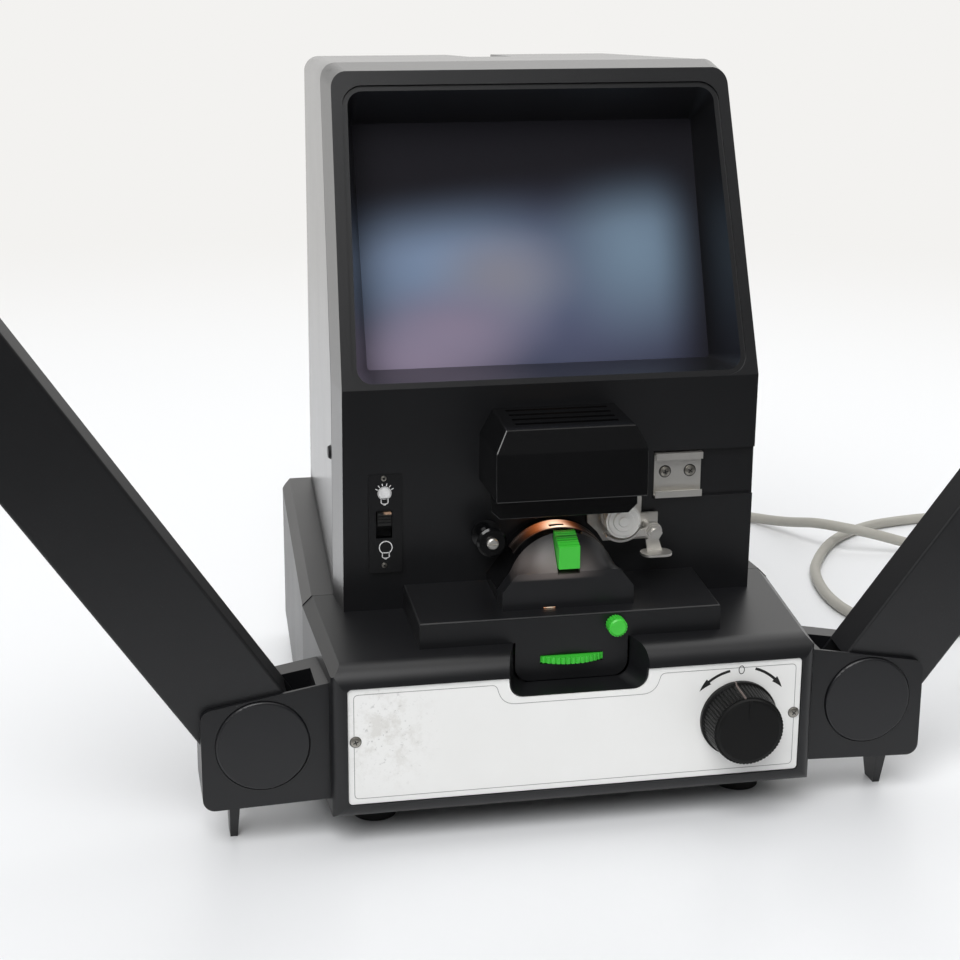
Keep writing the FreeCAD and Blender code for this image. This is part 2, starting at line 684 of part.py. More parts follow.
def build_bench(front_outer):
    """The raised bench that carries the film gate, with the skirt behind the focus wheel."""
    def top(y):
        return BENCH_TOP + BENCH_SLOPE * (y - BENCH_FRONT)

    solid = prism_x(
        [(BENCH_FRONT, 70), (BENCH_FRONT, top(BENCH_FRONT)), (BENCH_BACK + 2, top(BENCH_BACK + 2)), (BENCH_BACK + 2, 70)],
        -BENCH_HALF, BENCH_HALF)
    edges = [e for e in solid.Edges if min(v.Point.z for v in e.Vertexes) > 85]
    solid = solid.makeFillet(0.8, [e for e in edges if abs(e.Vertexes[0].Point.x) + abs(e.Vertexes[-1].Point.x) > 100])
    room = prism_x(
        [(BENCH_FRONT + 2.2, 60), (BENCH_FRONT + 2.2, top(16.1) - 2.2), (BENCH_BACK + 5, top(BENCH_BACK + 5) - 2.2), (BENCH_BACK + 5, 60)],
        -BENCH_HALF + 2.2, BENCH_HALF - 2.2)
    solid = cut(solid, room, front_outer)
    skirt_half = NOTCH_BACK_HALF - 0.6
    skirt_front = BENCH_FRONT + 0.15
    corners = [(-skirt_half, 61.6), (skirt_half, 61.6), (skirt_half, 84.0), (-skirt_half, 84.0)]
    skirt = slab([(x, skirt_front, z) for x, z in corners], [6.5, 6.5, 0, 0], (0, BENCH_FRONT + 2.2 - skirt_front, 0))
    slot = join(
        box(-13.0, 13.0, 5, 15.0, WHEEL_Z - 0.6, WHEEL_Z + 3.4),
        rod_z(0, WHEEL_Y, WHEEL_RADIUS + 0.4, WHEEL_Z - 0.6, WHEEL_Z + 3.4),
    )
    bench = cut(join(solid, skirt), slot, rod_y(FRAMING_X, FRAMING_Z, 1.65, 10, 20))
    light_hole = rod_z(0, FILM_Y, 9.5, 80, 100)
    keep("gate_bench", bench.cut(light_hole))


def build_gate(front_outer):
    """Film drum, its front cover, the steel film track, marker button and framing mask."""
    def bench_z(y):
        return BENCH_TOP + BENCH_SLOPE * (y - BENCH_FRONT)

    bench_top = [(10, bench_z(10)), (60, bench_z(60)), (60, 70), (10, 70)]
    bench_block = prism_x(bench_top, -80, 80)
    back = BENCH_BACK + 2
    barrel = rod_y(0, DRUM_Z, DRUM_RADIUS, DRUM_FRONT, back)
    shoulders = prism_y([(-27.8, 85), (-27.8, 96), (-22.0, 104), (22.0, 104), (27.8, 96), (27.8, 85)], DRUM_FRONT, back)
    drum = cut(join(barrel, shoulders), bench_block, front_outer)
    hollow = rod_y(0, DRUM_Z, DRUM_RADIUS - 3.0, DRUM_FRONT - 1, back + 1)
    pit = box(-18, 18, DRUM_FRONT - 1, back + 1, 85, DRUM_Z)
    ledges = [box(-14, 14, y0, y1, 110.7, 111.5) for y0, y1 in ((32, 35), (50, 53))]
    drum = cut(drum, hollow.cut(join(*ledges)), pit)
    track = rod_y(0, DRUM_Z, DRUM_RADIUS + 1, FILM_Y - 4.7, FILM_Y + 4.7)
    track = track.cut(rod_y(0, DRUM_Z, DRUM_RADIUS - 1.0, FILM_Y - 5, FILM_Y + 5))
    crown = prism_y([(0, DRUM_Z), (-40, DRUM_Z + 26), (-40, 150), (40, 150), (40, DRUM_Z + 26)], 30, 60)
    aperture = box(-3.4, 3.4, FILM_Y - 2.6, FILM_Y + 2.6, 105, 130)
    drum = cut(drum, track.common(crown), aperture)
    keep("gate_drum", drum)
    strip = rod_y(0, DRUM_Z, DRUM_RADIUS - 0.4, FILM_Y - 4.6, FILM_Y + 4.6)
    strip = strip.cut(rod_y(0, DRUM_Z, DRUM_RADIUS - 1.0, FILM_Y - 5, FILM_Y + 5))
    rails = rod_y(0, DRUM_Z, DRUM_RADIUS + 0.3, FILM_Y - 4.6, FILM_Y + 4.6)
    rails = rails.cut(rod_y(0, DRUM_Z, DRUM_RADIUS - 0.4, FILM_Y - 5, FILM_Y + 5))
    rails = rails.cut(rod_y(0, DRUM_Z, DRUM_RADIUS + 1, FILM_Y - 3.7, FILM_Y + 3.7))
    crown_in = prism_y([(0, DRUM_Z), (-39, DRUM_Z + 26), (-39, 150), (39, 150), (39, DRUM_Z + 26)], 30, 60)
    keep("film_track", cut(join(strip, rails).common(crown_in), aperture))

    low = bench_z(COVER_FRONT) - 2
    front_wire = polygon([(-27.8, COVER_FRONT, low), (-27.8, COVER_FRONT, 98), (-21.9, COVER_FRONT, 105.6),
                          (21.9, COVER_FRONT, 105.6), (27.8, COVER_FRONT, 98), (27.8, COVER_FRONT, low)])
    a, b = V(-22.0, DRUM_FRONT, 104), V(22.0, DRUM_FRONT, 104)
    peak = V(0, DRUM_FRONT, DRUM_Z + DRUM_RADIUS)
    back_points = [V(27.8, DRUM_FRONT, 96), V(27.8, DRUM_FRONT, low), V(-27.8, DRUM_FRONT, low), V(-27.8, DRUM_FRONT, 96)]
    back_edges = [Part.LineSegment(back_points[2], back_points[3]).toShape(),
                  Part.LineSegment(back_points[3], a).toShape(), Part.Arc(a, peak, b).toShape(),
                  Part.LineSegment(b, back_points[0]).toShape(),
                  Part.LineSegment(back_points[0], back_points[1]).toShape(),
                  Part.LineSegment(back_points[1], back_points[2]).toShape()]
    cover = loft(front_wire, Part.Wire(back_edges))
    button_room = box(-4.7, 4.7, 15, DRUM_FRONT - 0.5, 104.6, 125)
    light_slit = box(-10.5, -5.2, 15, DRUM_FRONT + 1, 85, bench_z(COVER_FRONT) + 0.7)
    keep("gate_cover", cut(cover, bench_block, button_room, light_slit))

    button = prism_x([(20.4, 107.0), (20.4, 116.4), (29.2, 120.4), (31.2, 120.4), (31.2, 107.0)], -4.4, 4.4)
    slope = (120.4 - 116.4) / (29.2 - 20.4)
    for i in range(5):
        y = 21.4 + 1.6 * i
        z = 116.4 + slope * (y - 20.4)
        button = button.cut(box(-5, 5, y, y + 0.7, z - 0.25, z + 2))
    keep("marker_button", button)
    mask = box(-8, 8, 32.4, 53.0, 111.8, 112.6)
    mask = mask.cut(box(-3.2, 3.2, FILM_Y - 2.4, FILM_Y + 2.4, 100, 120))
    keep("framing_mask", mask)
    knob = prism_y(star(20, 4.0, 3.6), 8.6, 13.3)
    knob.translate(V(FRAMING_X, 0, FRAMING_Z))
    knob = join(knob, turned_y(FRAMING_X, FRAMING_Z, [(0, 8.0), (3.0, 8.0), (3.6, 8.6), (0, 8.6)]),
                rod_y(FRAMING_X, FRAMING_Z, 1.6, 13.0, 27.0))
    keep("framing_knob", knob)


def build_film_rollers():
    """Guide roller, sprocket with its gear, rotary prism with its gear, bracket, nut and lever."""
    y0, y1 = 37.0, 50.4
    roller = turned_y(ROLLER_X, ROLLER_Z, [
        (1.6, y0), (5.4, y0), (6.3, y0 + 0.6), (6.3, y0 + 1.4), (3.6, y0 + 1.9), (3.6, y1 - 1.9), (6.3, y1 - 1.4),
        (6.3, y1), (1.6, y1)])
    keep("film_roller", roller)
    wall_y = front_y(ROLLER_Z)
    screw = turned_y(ROLLER_X, ROLLER_Z, [
        (0, 34.6), (1.9, 34.6), (2.4, 35.2), (2.4, 36.7), (1.55, 36.7), (1.55, 50.7), (3.4, 50.7), (3.4, wall_y - 0.1),
        (1.55, wall_y - 0.1), (1.55, 60), (0, 60)])
    screw = screw.cut(box(ROLLER_X - 4, ROLLER_X + 4, 34, 35.4, ROLLER_Z - 0.35, ROLLER_Z + 0.35))
    keep("roller_screw", screw)

    wheel = turned_y(SPROCKET_X, SPROCKET_Z, [
        (0, 36.6), (2.0, 36.6), (2.4, 37.2), (4.2, 37.2), (4.6, 37.8), (6.3, 37.8), (6.7, 38.2), (SPROCKET_RADIUS, 38.2),
        (SPROCKET_RADIUS, 39.8), (6.2, 39.8), (6.2, 47.4), (SPROCKET_RADIUS, 47.4), (SPROCKET_RADIUS, 48.6),
        (3.0, 48.6), (3.0, 62.2), (0, 62.2)])
    teeth = []
    for i in range(SPROCKET_TEETH):
        tooth = prism_y([(6.0, -0.55), (7.6, -0.25), (7.6, 0.25), (6.0, 0.55)], 39.6, 40.5)
        tooth.rotate(V(0, 0, 0), V(0, 1, 0), 360.0 * i / SPROCKET_TEETH)
        tooth.translate(V(SPROCKET_X, 0, SPROCKET_Z))
        teeth.append(tooth)
    reach = math.hypot(SPROCKET_X, SPROCKET_Z - PRISM_Z)
    pitch = reach / 2
    line = math.degrees(math.atan2(SPROCKET_Z - PRISM_Z, SPROCKET_X))
    outline = star(GEAR_TEETH, pitch + 1.0, pitch - 1.5, 0.11, 0.27)
    gear = prism_y(outline, 58.0, 61.5)
    sprocket_gear = gear.copy()
    sprocket_gear.rotate(V(0, 0, 0), V(0, -1, 0), line + 180)
    sprocket_gear.translate(V(SPROCKET_X, 0, SPROCKET_Z))
    keep("film_sprocket", join(wheel, sprocket_gear, *teeth))
    prism_gear = gear.copy()
    prism_gear.rotate(V(0, 0, 0), V(0, -1, 0), line + 180.0 / GEAR_TEETH)
    prism_gear.translate(V(0, 0, PRISM_Z))
    eight = [(7.2 * math.cos(math.pi * (i + 0.5) / 4), 7.2 * math.sin(math.pi * (i + 0.5) / 4)) for i in range(8)]
    glass = prism_y(eight, FILM_Y - 5, FILM_Y + 5)
    glass.translate(V(0, 0, PRISM_Z))
    keep("rotary_prism", join(glass, rod_y(0, PRISM_Z, 3.0, FILM_Y + 4, 62.2), prism_gear))

    plate = prism_y([(19.5, 112.5), (15.0, 117.0), (15.0, 126.6), (33.0, 127.2), (36.8, 131.0), (38.6, 127.0),
                     (38.6, 120.0), (46.0, 120.0), (46.0, 108.5), (22.0, 108.5)], 50.0, 51.2)
    plate = cut(plate, rod_y(SPROCKET_X, SPROCKET_Z, 3.4, 45, 55))
    posts = [rod_y(18.5, 123.5, 1.8, 51.2, 53.2), rod_y(43.0, 111.5, 1.8, 51.2, 53.3)]
    pivot = rod_y(LEVER_X, LEVER_Z, 2.0, 36.2, 50.2)
    keep("sprocket_bracket", join(plate, pivot, *posts).cut(hood_front()))
    hexagon = [(3.3 * math.cos(math.pi * i / 3), 3.3 * math.sin(math.pi * i / 3)) for i in range(6)]
    nut = prism_y(hexagon, 37.2, 39.6)
    nut.translate(V(LEVER_X, 0, LEVER_Z))
    keep("lever_nut", nut.cut(rod_y(LEVER_X, LEVER_Z, 2.0, 30, 60)))

    hub = rod_y(LEVER_X, LEVER_Z, 3.8, 40.0, 42.2)
    link = prism_y([(LEVER_X - 3, LEVER_Z - 3.5), (LEVER_X + 2.5, LEVER_Z - 3.5), (45.5, 106.0), (39.0, 106.0)], 40.4, 41.6)
    paddle = slab([(35.5, 33.5, 105.2), (48.8, 33.5, 105.2), (48.8, 43.0, 105.2), (35.5, 43.0, 105.2)], 4.0, (0, 0, 1.0))
    arc = rod_y(SPROCKET_X, SPROCKET_Z, 10.0, 40.4, 46.6).cut(rod_y(SPROCKET_X, SPROCKET_Z, 9.1, 35, 50))
    sector = prism_y([(SPROCKET_X, SPROCKET_Z), (SPROCKET_X - 14, SPROCKET_Z - 16), (SPROCKET_X + 4, SPROCKET_Z - 20),
                      (SPROCKET_X + 16, SPROCKET_Z - 10)], 35, 50)
    shoe = arc.common(sector)
    bridge = prism_y([(SPROCKET_X + 7.4, SPROCKET_Z - 5.4), (LEVER_X - 1, LEVER_Z + 2.5), (LEVER_X - 1, LEVER_Z - 2.5),
                      (SPROCKET_X + 6.6, SPROCKET_Z - 7.6)], 40.4, 41.6)
    bridge = bridge.cut(rod_y(SPROCKET_X, SPROCKET_Z, 9.1, 35, 50))
    lever = join(hub, link, paddle, shoe, bridge).cut(rod_y(LEVER_X, LEVER_Z, 2.0 + RUNNING, 30, 60))
    keep("release_lever", lever)


def build_lamp(front_outer):
    """Lamp housing with its vents, the lamp, its socket and the condenser."""
    def shell(inset):
        side = prism_x([(16.6 + inset, LAMP_LOW), (17.6 + inset, 157.5), (21.2 + inset, LAMP_TOP_Z - inset),
                        (58, LAMP_TOP_Z - inset + 0.21 * (58 - 21.2)), (58, LAMP_LOW)], -50, 50)
        front = prism_y([(-LAMP_HALF + inset, LAMP_LOW + inset), (-LAMP_HALF + inset, LAMP_SHOULDER - 0.4 * inset),
                         (-LAMP_TOP_HALF + inset, LAMP_TOP_Z), (-21.0 + inset, 178), (21.0 - inset, 178),
                         (LAMP_TOP_HALF - inset, LAMP_TOP_Z), (LAMP_HALF - inset, LAMP_SHOULDER - 0.4 * inset),
                         (LAMP_HALF - inset, LAMP_LOW + inset)], 0, 60)
        return side.common(front)

    house = shell(0.0).cut(shell(2.0))
    vents = [box(-23, 23, 26.6 + 4.0 * i, 28.4 + 4.0 * i, 160, 180) for i in range(VENTS)]
    light_hole = rod_z(0, FILM_Y, 8.0, 130, 145)
    house = cut(house, front_outer, light_hole, *vents)
    keep("lamp_housing", house)
    keep("condenser_lens", turned_z(0, FILM_Y, [
        (0, LAMP_LOW + 2), (8.3, LAMP_LOW + 2), (8.3, LAMP_LOW + 3.4), (6.4, LAMP_LOW + 4.8), (3.5, LAMP_LOW + 5.7), (0, LAMP_LOW + 6)]))
    bulb = turned_y(0, LAMP_Z, [(0, 29.0), (3.6, 30.2), (6.4, 33.5), (7.0, 38.0), (6.0, 43.0), (4.6, 46.5), (4.6, 60.0), (0, 60.0)])
    keep("lamp", bulb)
    socket = turned_y(0, LAMP_Z, [(4.7, 49.5), (8.0, 49.5), (8.0, 56.6), (12.0, 56.6), (12.0, 72.0), (0, 72.0), (0, 60.1), (4.7, 60.1)])
    keep("lamp_socket", socket)


def build_optics():
    """Lens barrel in its guide, the cam ring that focuses it, and the two mirrors."""
    barrel_bore = rod_z(0, FILM_Y, BARREL_RADIUS + RUNNING, 60, 100)
    collar = rod_z(0, WHEEL_Y, COLLAR_RADIUS, WHEEL_Z - 0.9, 84.5)
    lip = rod_z(0, WHEEL_Y, COLLAR_RADIUS + 0.6, WHEEL_Z - 1.3, WHEEL_Z - 0.3)
    lug_slot = box(5, 20, FILM_Y - 2.3, FILM_Y + 2.3, WHEEL_Z + 2.6, WHEEL_Z + 8.0)
    guide = cut(join(collar, lip), hood_front(), barrel_bore, lug_slot)
    keep("lens_guide", guide)
    barrel = rod_z(0, FILM_Y, BARREL_RADIUS, 60.0, 84.0)
    lug = box(BARREL_RADIUS - 1.0, 19.5, FILM_Y - 2.0, FILM_Y + 2.0, WHEEL_Z + 4.5, WHEEL_Z + 6.0)
    barrel = cut(join(barrel, lug), rod_z(0, FILM_Y, BARREL_RADIUS - 1.8, 50, 90))
    keep("lens_barrel", barrel)
    rim = BARREL_RADIUS - 1.8
    lens = turned_z(0, FILM_Y, [(0, 66.0), (3.4, 66.4), (rim, 67.6), (rim, 76.4), (3.4, 77.6), (0, 78.0)])
    keep("lens_glass", lens)
    wheel = prism_z(star(72, WHEEL_RADIUS, WHEEL_RADIUS - 0.6), WHEEL_Z, WHEEL_Z + 2.8)
    wheel.translate(V(0, WHEEL_Y, 0))
    keep("focus_wheel", wheel.cut(rod_z(0, WHEEL_Y, COLLAR_RADIUS + RUNNING, 60, 80)))

    top = BASE_BOTTOM + WALL
    line = 87.0
    mirror = prism_x([(36.0, line - 36.0), (60.0, line - 60.0), (61.9, line - 60.0 + 1.9), (37.9, line - 36.0 + 1.9)], -14, 14)
    keep("lower_mirror", mirror)
    lean = math.radians(27.4)
    low_y = 222 - 34 * math.tan(lean)
    rise = 66.0
    run = rise * math.tan(lean)
    thick = 2.5
    rear = prism_x([(low_y, top), (low_y + run, top + rise), (low_y + run + thick, top + rise), (low_y + thick, top)], -52, 52)
    keep("rear_mirror", rear)


def build_electrics():
    """Motor, transformer and the speed control behind the knob."""
    motor = join(rod_y(MOTOR_X, PIVOT_Z, 14.0, 27.5, 62.0), rod_y(MOTOR_X, PIVOT_Z, 5.0, 26.3, 64.0))
    motor = motor.cut(rod_y(MOTOR_X, PIVOT_Z, 1.5 + RUNNING, 20, 45))
    keep("motor", leaned(motor))
    top = BASE_BOTTOM + WALL
    core = box(48, 92, 146, 180, top, top + 36)
    windows = [box(56, 66, 140, 190, top + 8, top + 28), box(74, 84, 140, 190, top + 8, top + 28)]
    coil = box(57, 83, 139, 187, top + 8.5, top + 27.5).cut(box(66, 74, 140, 190, 0, 100))
    keep("transformer", join(cut(core, *windows), coil))
    pot = join(rod_y(KNOB_X, KNOB_Z, 9.0, BASE_FRONT + WALL + 0.2, 13.0), rod_y(KNOB_X, KNOB_Z, 3.9, 0.9, 4.0))
    pot = pot.cut(rod_y(KNOB_X, KNOB_Z, 3.0 + RUNNING, -5, 9.2))
    keep("speed_control", pot)


def build_speed_knob():
    grip = []
    for y, radius in ((-2.6, 15.6), (-14.6, 14.8)):
        grip.append(polygon([(x, y, z) for x, z in star(60, radius, radius - 0.35)]))
    flank = loft(*grip)
    skirt = turned_y(0, 0, [(0, -0.4), (16.4, -0.4), (16.4, -2.2), (15.4, -2.7), (0, -2.7)])
    face = turned_y(0, 0, [(0, -14.5), (14.2, -14.5), (13.6, -15.6), (12.6, -16.0), (0, -16.0)])
    knob = join(flank, skirt, face)
    knob.translate(V(KNOB_X, 0, KNOB_Z))
    pointer = box(KNOB_X - 0.6, KNOB_X + 0.6, -16.3, -15.5, KNOB_Z + 6.0, KNOB_Z + 13.4)
    shaft = rod_y(KNOB_X, KNOB_Z, 3.0, -1.0, 9.0)
    keep("speed_knob", join(knob, pointer, shaft))


def arm_outline(margin=0.0, angle=None):
    """The arm's straight-sided outline with round ends, as a face in the plane y = 0."""
    angle = math.radians(ARM_ANGLE_DEG if angle is None else angle)
    along = V(math.cos(angle), 0, math.sin(angle))
    across = V(-math.sin(angle), 0, math.cos(angle))
    near = V(PIVOT_X, 0, PIVOT_Z)
    far = near + along * ARM_LENGTH
    radius = ARM_HALF + margin
    edges = [
        Part.LineSegment(near + across * radius, far + across * radius).toShape(),
        Part.Arc(far + across * radius, far + along * radius, far - across * radius).toShape(),
        Part.LineSegment(far - across * radius, near - across * radius).toShape(),
        Part.Arc(near - across * radius, near - along * radius, near + across * radius).toShape(),
    ]
    return Part.Face(Part.Wire(edges))


def arm_slab(margin, y0, y1, angle=None):
    solid = arm_outline(margin, angle).extrude(V(0, y1 - y0, 0))
    solid.translate(V(0, y0, 0))
    return solid


def belt(near, near_radius, far, far_radius, y0, y1):
    """A flat loop round two pulleys, a little clear of both."""
    near = V(near[0], 0, near[1])
    far = V(far[0], 0, far[1])
    gap = far - near
    along = V(gap).normalize()
    across = V(-along.z, 0, along.x)
    lean = math.acos((near_radius - far_radius) / gap.Length)

    def loop(extra):
        r0, r1 = near_radius + extra, far_radius + extra
        up = along * math.cos(lean) + across * math.sin(lean)
        down = along * math.cos(lean) - across * math.sin(lean)
        edges = [
            Part.LineSegment(near + up * r0, far + up * r1).toShape(),
            Part.Arc(far + up * r1, far + along * r1, far + down * r1).toShape(),
            Part.LineSegment(far + down * r1, near + down * r0).toShape(),
            Part.Arc(near + down * r0, near - along * r0, near + up * r0).toShape(),
        ]
        return Part.Face(Part.Wire(edges))

    ring = loop(CLEAR + BELT_THICK).cut(loop(CLEAR)).extrude(V(0, y1 - y0, 0))
    ring.translate(V(0, y0, 0))
    return ring


def spindle_place():
    angle = math.radians(ARM_ANGLE_DEG)
    return PIVOT_X + ARM_LENGTH * math.cos(angle), PIVOT_Z + ARM_LENGTH * math.sin(angle)


def build_arms(side, sign, drive_y):
    """One reel arm: shell, back cover, belt, pivot pulley and reel spindle, all upright, then leaned."""
    front = PIVOT_Y - ARM_THICK / 2
    back = PIVOT_Y + ARM_THICK / 2
    tip_x, tip_z = spindle_place()
    shell = arm_slab(0, front, back - ARM_WALL)
    shell = shell.makeFillet(1.2, [e for e in shell.Edges if max(v.Point.y for v in e.Vertexes) < front + 0.01])
    room = arm_slab(-ARM_WALL, front + ARM_WALL, back)
    angle = math.radians(ARM_ANGLE_DEG)
    start = 12.0
    belt_door = box(-60, start, front + ARM_WALL, back - ARM_WALL, -60, 60)
    belt_door.rotate(V(0, 0, 0), V(0, -1, 0), ARM_ANGLE_DEG)
    belt_door.translate(V(PIVOT_X, 0, PIVOT_Z))
    pin = rod_y(PIVOT_X, PIVOT_Z, PIN_RADIUS + RUNNING, 0, 60)
    tip_bore = rod_y(tip_x, tip_z, 3.0 + RUNNING, 0, 60)
    tip_boss = rod_y(tip_x, tip_z, 6.0, front + 1, front + 5.0)
    screws = []
    for distance in (60.0, 190.0):
        x = PIVOT_X + distance * math.cos(angle)
        z = PIVOT_Z + distance * math.sin(angle)
        for offset in (-14.0, 14.0):
            screws.append(rod_y(x - offset * math.sin(angle), z + offset * math.cos(angle), 3.2, front + 1, back - ARM_WALL))
    shell = join(cut(shell, room, belt_door), tip_boss, *screws)
    shell = cut(shell, pin, tip_bore)
    keep(side + "_arm", leaned(shell, sign))
    cover = arm_slab(-0.3, back - ARM_WALL, back)
    cover = cover.makeFillet(0.8, [e for e in cover.Edges if min(v.Point.y for v in e.Vertexes) > back - 0.01])
    keep(side + "_arm_cover", leaned(cut(cover, pin, tip_bore), sign))

    groove_front = drive_y
    pulley = turned_y(PIVOT_X, PIVOT_Z, [
        (PIN_RADIUS + RUNNING, PIVOT_Y - 6.6), (PULLEY_GROOVE + 2.6, PIVOT_Y - 6.6),
        (PULLEY_GROOVE + 2.6, groove_front - 0.4), (PULLEY_GROOVE, groove_front - 0.4),
        (PULLEY_GROOVE, groove_front + 2.4), (PULLEY_GROOVE + 2.6, groove_front + 2.4), (PULLEY_GROOVE + 2.6, PIVOT_Y + 0.8),
        (ARM_BELT_GROOVE, PIVOT_Y + 0.8), (ARM_BELT_GROOVE, PIVOT_Y + 4.0), (ARM_BELT_GROOVE + 2.6, PIVOT_Y + 4.0),
        (ARM_BELT_GROOVE + 2.6, PIVOT_Y + 5.2), (PIN_RADIUS + RUNNING, PIVOT_Y + 5.2)])
    keep(side + "_pivot_pulley", leaned(pulley, sign))
    loop = belt((PIVOT_X, PIVOT_Z), ARM_BELT_GROOVE, (tip_x, tip_z), ARM_BELT_GROOVE, PIVOT_Y + 1.2, PIVOT_Y + 3.6)
    keep(side + "_arm_belt", leaned(loop, sign))

    table = front - 0.6
    hub_end = table - 2.4 - HUB_LENGTH
    body = turned_y(tip_x, tip_z, [
        (0, hub_end), (3.4, hub_end), (5.2, hub_end + 0.9), (HUB_RADIUS, hub_end + 2.4), (HUB_RADIUS, table - 9.0),
        (HUB_RADIUS - 0.3, table - 8.7), (HUB_RADIUS - 0.3, table - 2.4),
        (REEL_TABLE_RADIUS - 1, table - 2.4), (REEL_TABLE_RADIUS, table - 1.6), (REEL_TABLE_RADIUS, table),
        (3.0, table), (3.0, PIVOT_Y - 0.4), (ARM_BELT_GROOVE + 2.6, PIVOT_Y - 0.4),
        (ARM_BELT_GROOVE + 2.6, PIVOT_Y + 0.8), (ARM_BELT_GROOVE, PIVOT_Y + 0.8),
        (ARM_BELT_GROOVE, PIVOT_Y + 4.0), (ARM_BELT_GROOVE + 2.6, PIVOT_Y + 4.0),
        (ARM_BELT_GROOVE + 2.6, PIVOT_Y + 5.2), (3.0, PIVOT_Y + 5.2),
        (3.0, back + 0.6), (0, back + 0.6)])
    ribs = []
    for i in range(3):
        rib = box(HUB_RADIUS - 1.5, HUB_RADIUS + 1.0, table - 8.4, table - 2.2, -0.8, 0.8)
        rib.rotate(V(0, 0, 0), V(0, 1, 0), 120.0 * i + 30)
        rib.translate(V(tip_x, 0, tip_z))
        ribs.append(rib)
    keep(side + "_spindle", leaned(join(body, *ribs), sign))


def build_drive():
    """Motor pulley with one groove for each side, and the two drive belts."""
    left_y, right_y = PIVOT_Y - 6.0, PIVOT_Y - 2.6
    rim = MOTOR_GROOVE + 2.6
    pulley = turned_y(MOTOR_X, PIVOT_Z, [
        (0, left_y - 1.4), (rim, left_y - 1.4), (rim, left_y - 0.4), (MOTOR_GROOVE, left_y - 0.4),
        (MOTOR_GROOVE, left_y + 2.4), (rim, left_y + 2.4), (rim, right_y - 0.4), (MOTOR_GROOVE, right_y - 0.4),
        (MOTOR_GROOVE, right_y + 2.4), (rim, right_y + 2.4), (rim, right_y + 3.2), (1.5, right_y + 3.2),
        (1.5, PIVOT_Y + 20), (0, PIVOT_Y + 20)])
    keep("motor_pulley", leaned(pulley))
    left = belt((MOTOR_X, PIVOT_Z), MOTOR_GROOVE, (-PIVOT_X, PIVOT_Z), PULLEY_GROOVE, left_y, left_y + 2.0)
    right = belt((MOTOR_X, PIVOT_Z), MOTOR_GROOVE, (PIVOT_X, PIVOT_Z), PULLEY_GROOVE, right_y, right_y + 2.0)
    keep("drive_belts", leaned(left), leaned(right))
    return left_y, right_y


def build_pivot_blocks():
    """The two pivot blocks with their support fins, pins and caps."""
    outline = [(98.0, BLOCK_LOW + 1.1), (BLOCK_OUT, BLOCK_LOW - 0.8), (BLOCK_OUT, BLOCK_TOP_OUT), (98.0, BLOCK_TOP_IN + 0.7)]
    block = slab([(x, BLOCK_FRONT, z) for x, z in outline], [0, 5.0, 5.0, 0], (0, BLOCK_BACK - BLOCK_FRONT, 0))
    angle = math.radians(ARM_ANGLE_DEG)
    edge = ARM_HALF + 0.5

    def under_arm(u):
        along = (u - edge * math.sin(angle)) / math.cos(angle)
        return -edge * math.cos(angle) + along * math.sin(angle)

    inner, floor, outer = -21.8, -23.0, 20.6
    slot = [(inner, floor), (outer, floor), (outer, under_arm(outer)), (40, under_arm(40)), (40, 70), (inner, 70)]
    half = ARM_THICK / 2 + CLEAR
    slot = prism_y([(PIVOT_X + u, PIVOT_Z + v) for u, v in slot], PIVOT_Y - half, PIVOT_Y + half)
    belt_window = box(95, 112, PIVOT_Y - 8, PIVOT_Y + 1.5, PIVOT_Z - 12.6, PIVOT_Z + 12.6)
    block = cut(block, leaned(slot), leaned(belt_window), base_front(), base_rear())
    pin_hole = leaned(rod_y(PIVOT_X, PIVOT_Z, PIN_RADIUS, PIVOT_Y - 12, PIVOT_Y + 30))
    fin = loft(
        polygon([(137.4, 14.0, 19.5), (142.0, 14.0, 19.5), (142.0, 34.0, 19.5), (137.4, 34.0, 19.5)]),
        polygon([(138.6, 20.0, 0), (141.6, 20.0, 0), (141.6, 29.0, 0), (138.6, 29.0, 0)]),
    )
    seat = rod_y(PIVOT_X, PIVOT_Z, CAP_RADIUS + 0.35, BLOCK_FRONT - 1, BLOCK_FRONT + 0.7)
    block = join(cut(block, seat), fin).cut(pin_hole)
    cap = rod_y(PIVOT_X, PIVOT_Z, CAP_RADIUS, BLOCK_FRONT - 1.0, BLOCK_FRONT + 0.7)
    cap = cap.makeFillet(0.9, [e for e in cap.Edges if max(v.Point.y for v in e.Vertexes) < BLOCK_FRONT - 0.9])
    pin_end = PIVOT_Y + half + 6.5
    pin = leaned(rod_y(PIVOT_X, PIVOT_Z, PIN_RADIUS, PIVOT_Y - 12, pin_end)).cut(box(90, 160, -10, BLOCK_FRONT + 0.7, 0, 90))
    keep("right_pivot_block", block)
    keep("left_pivot_block", mirrored(block))
    keep("pivot_caps", cap, mirrored(cap))
    keep("pivot_pins", pin, mirrored(pin))


def tube_path(points):
    """Edges of straight runs joined by tangent arcs, with the radii and the whole length."""
    points = [V(*p) for p in points]
    edges = []
    radii = []
    at = points[0]
    for i in range(1, len(points) - 1):
        corner = points[i]
        back = points[i - 1] - corner
        ahead = points[i + 1] - corner
        reach = 0.45 * min(back.Length, ahead.Length)
        back.normalize()
        ahead.normalize()
        half_turn = (math.pi - back.getAngle(ahead)) / 2
        radius = reach / math.tan(half_turn)
        start = corner + back * reach
        end = corner + ahead * reach
        inward = (back + ahead).normalize()
        middle = corner + inward * (radius / math.cos(half_turn) - radius)
        edges.append(Part.LineSegment(at, start).toShape())
        edges.append(Part.Arc(start, middle, end).toShape())
        radii.append(radius)
        at = end
    edges.append(Part.LineSegment(at, points[-1]).toShape())
    return edges, radii


def sweep(edges, start, direction, radius):
    circle = Part.Wire(Part.makeCircle(radius, start, direction))
    return Part.Wire(edges).makePipeShell([circle], True, False)


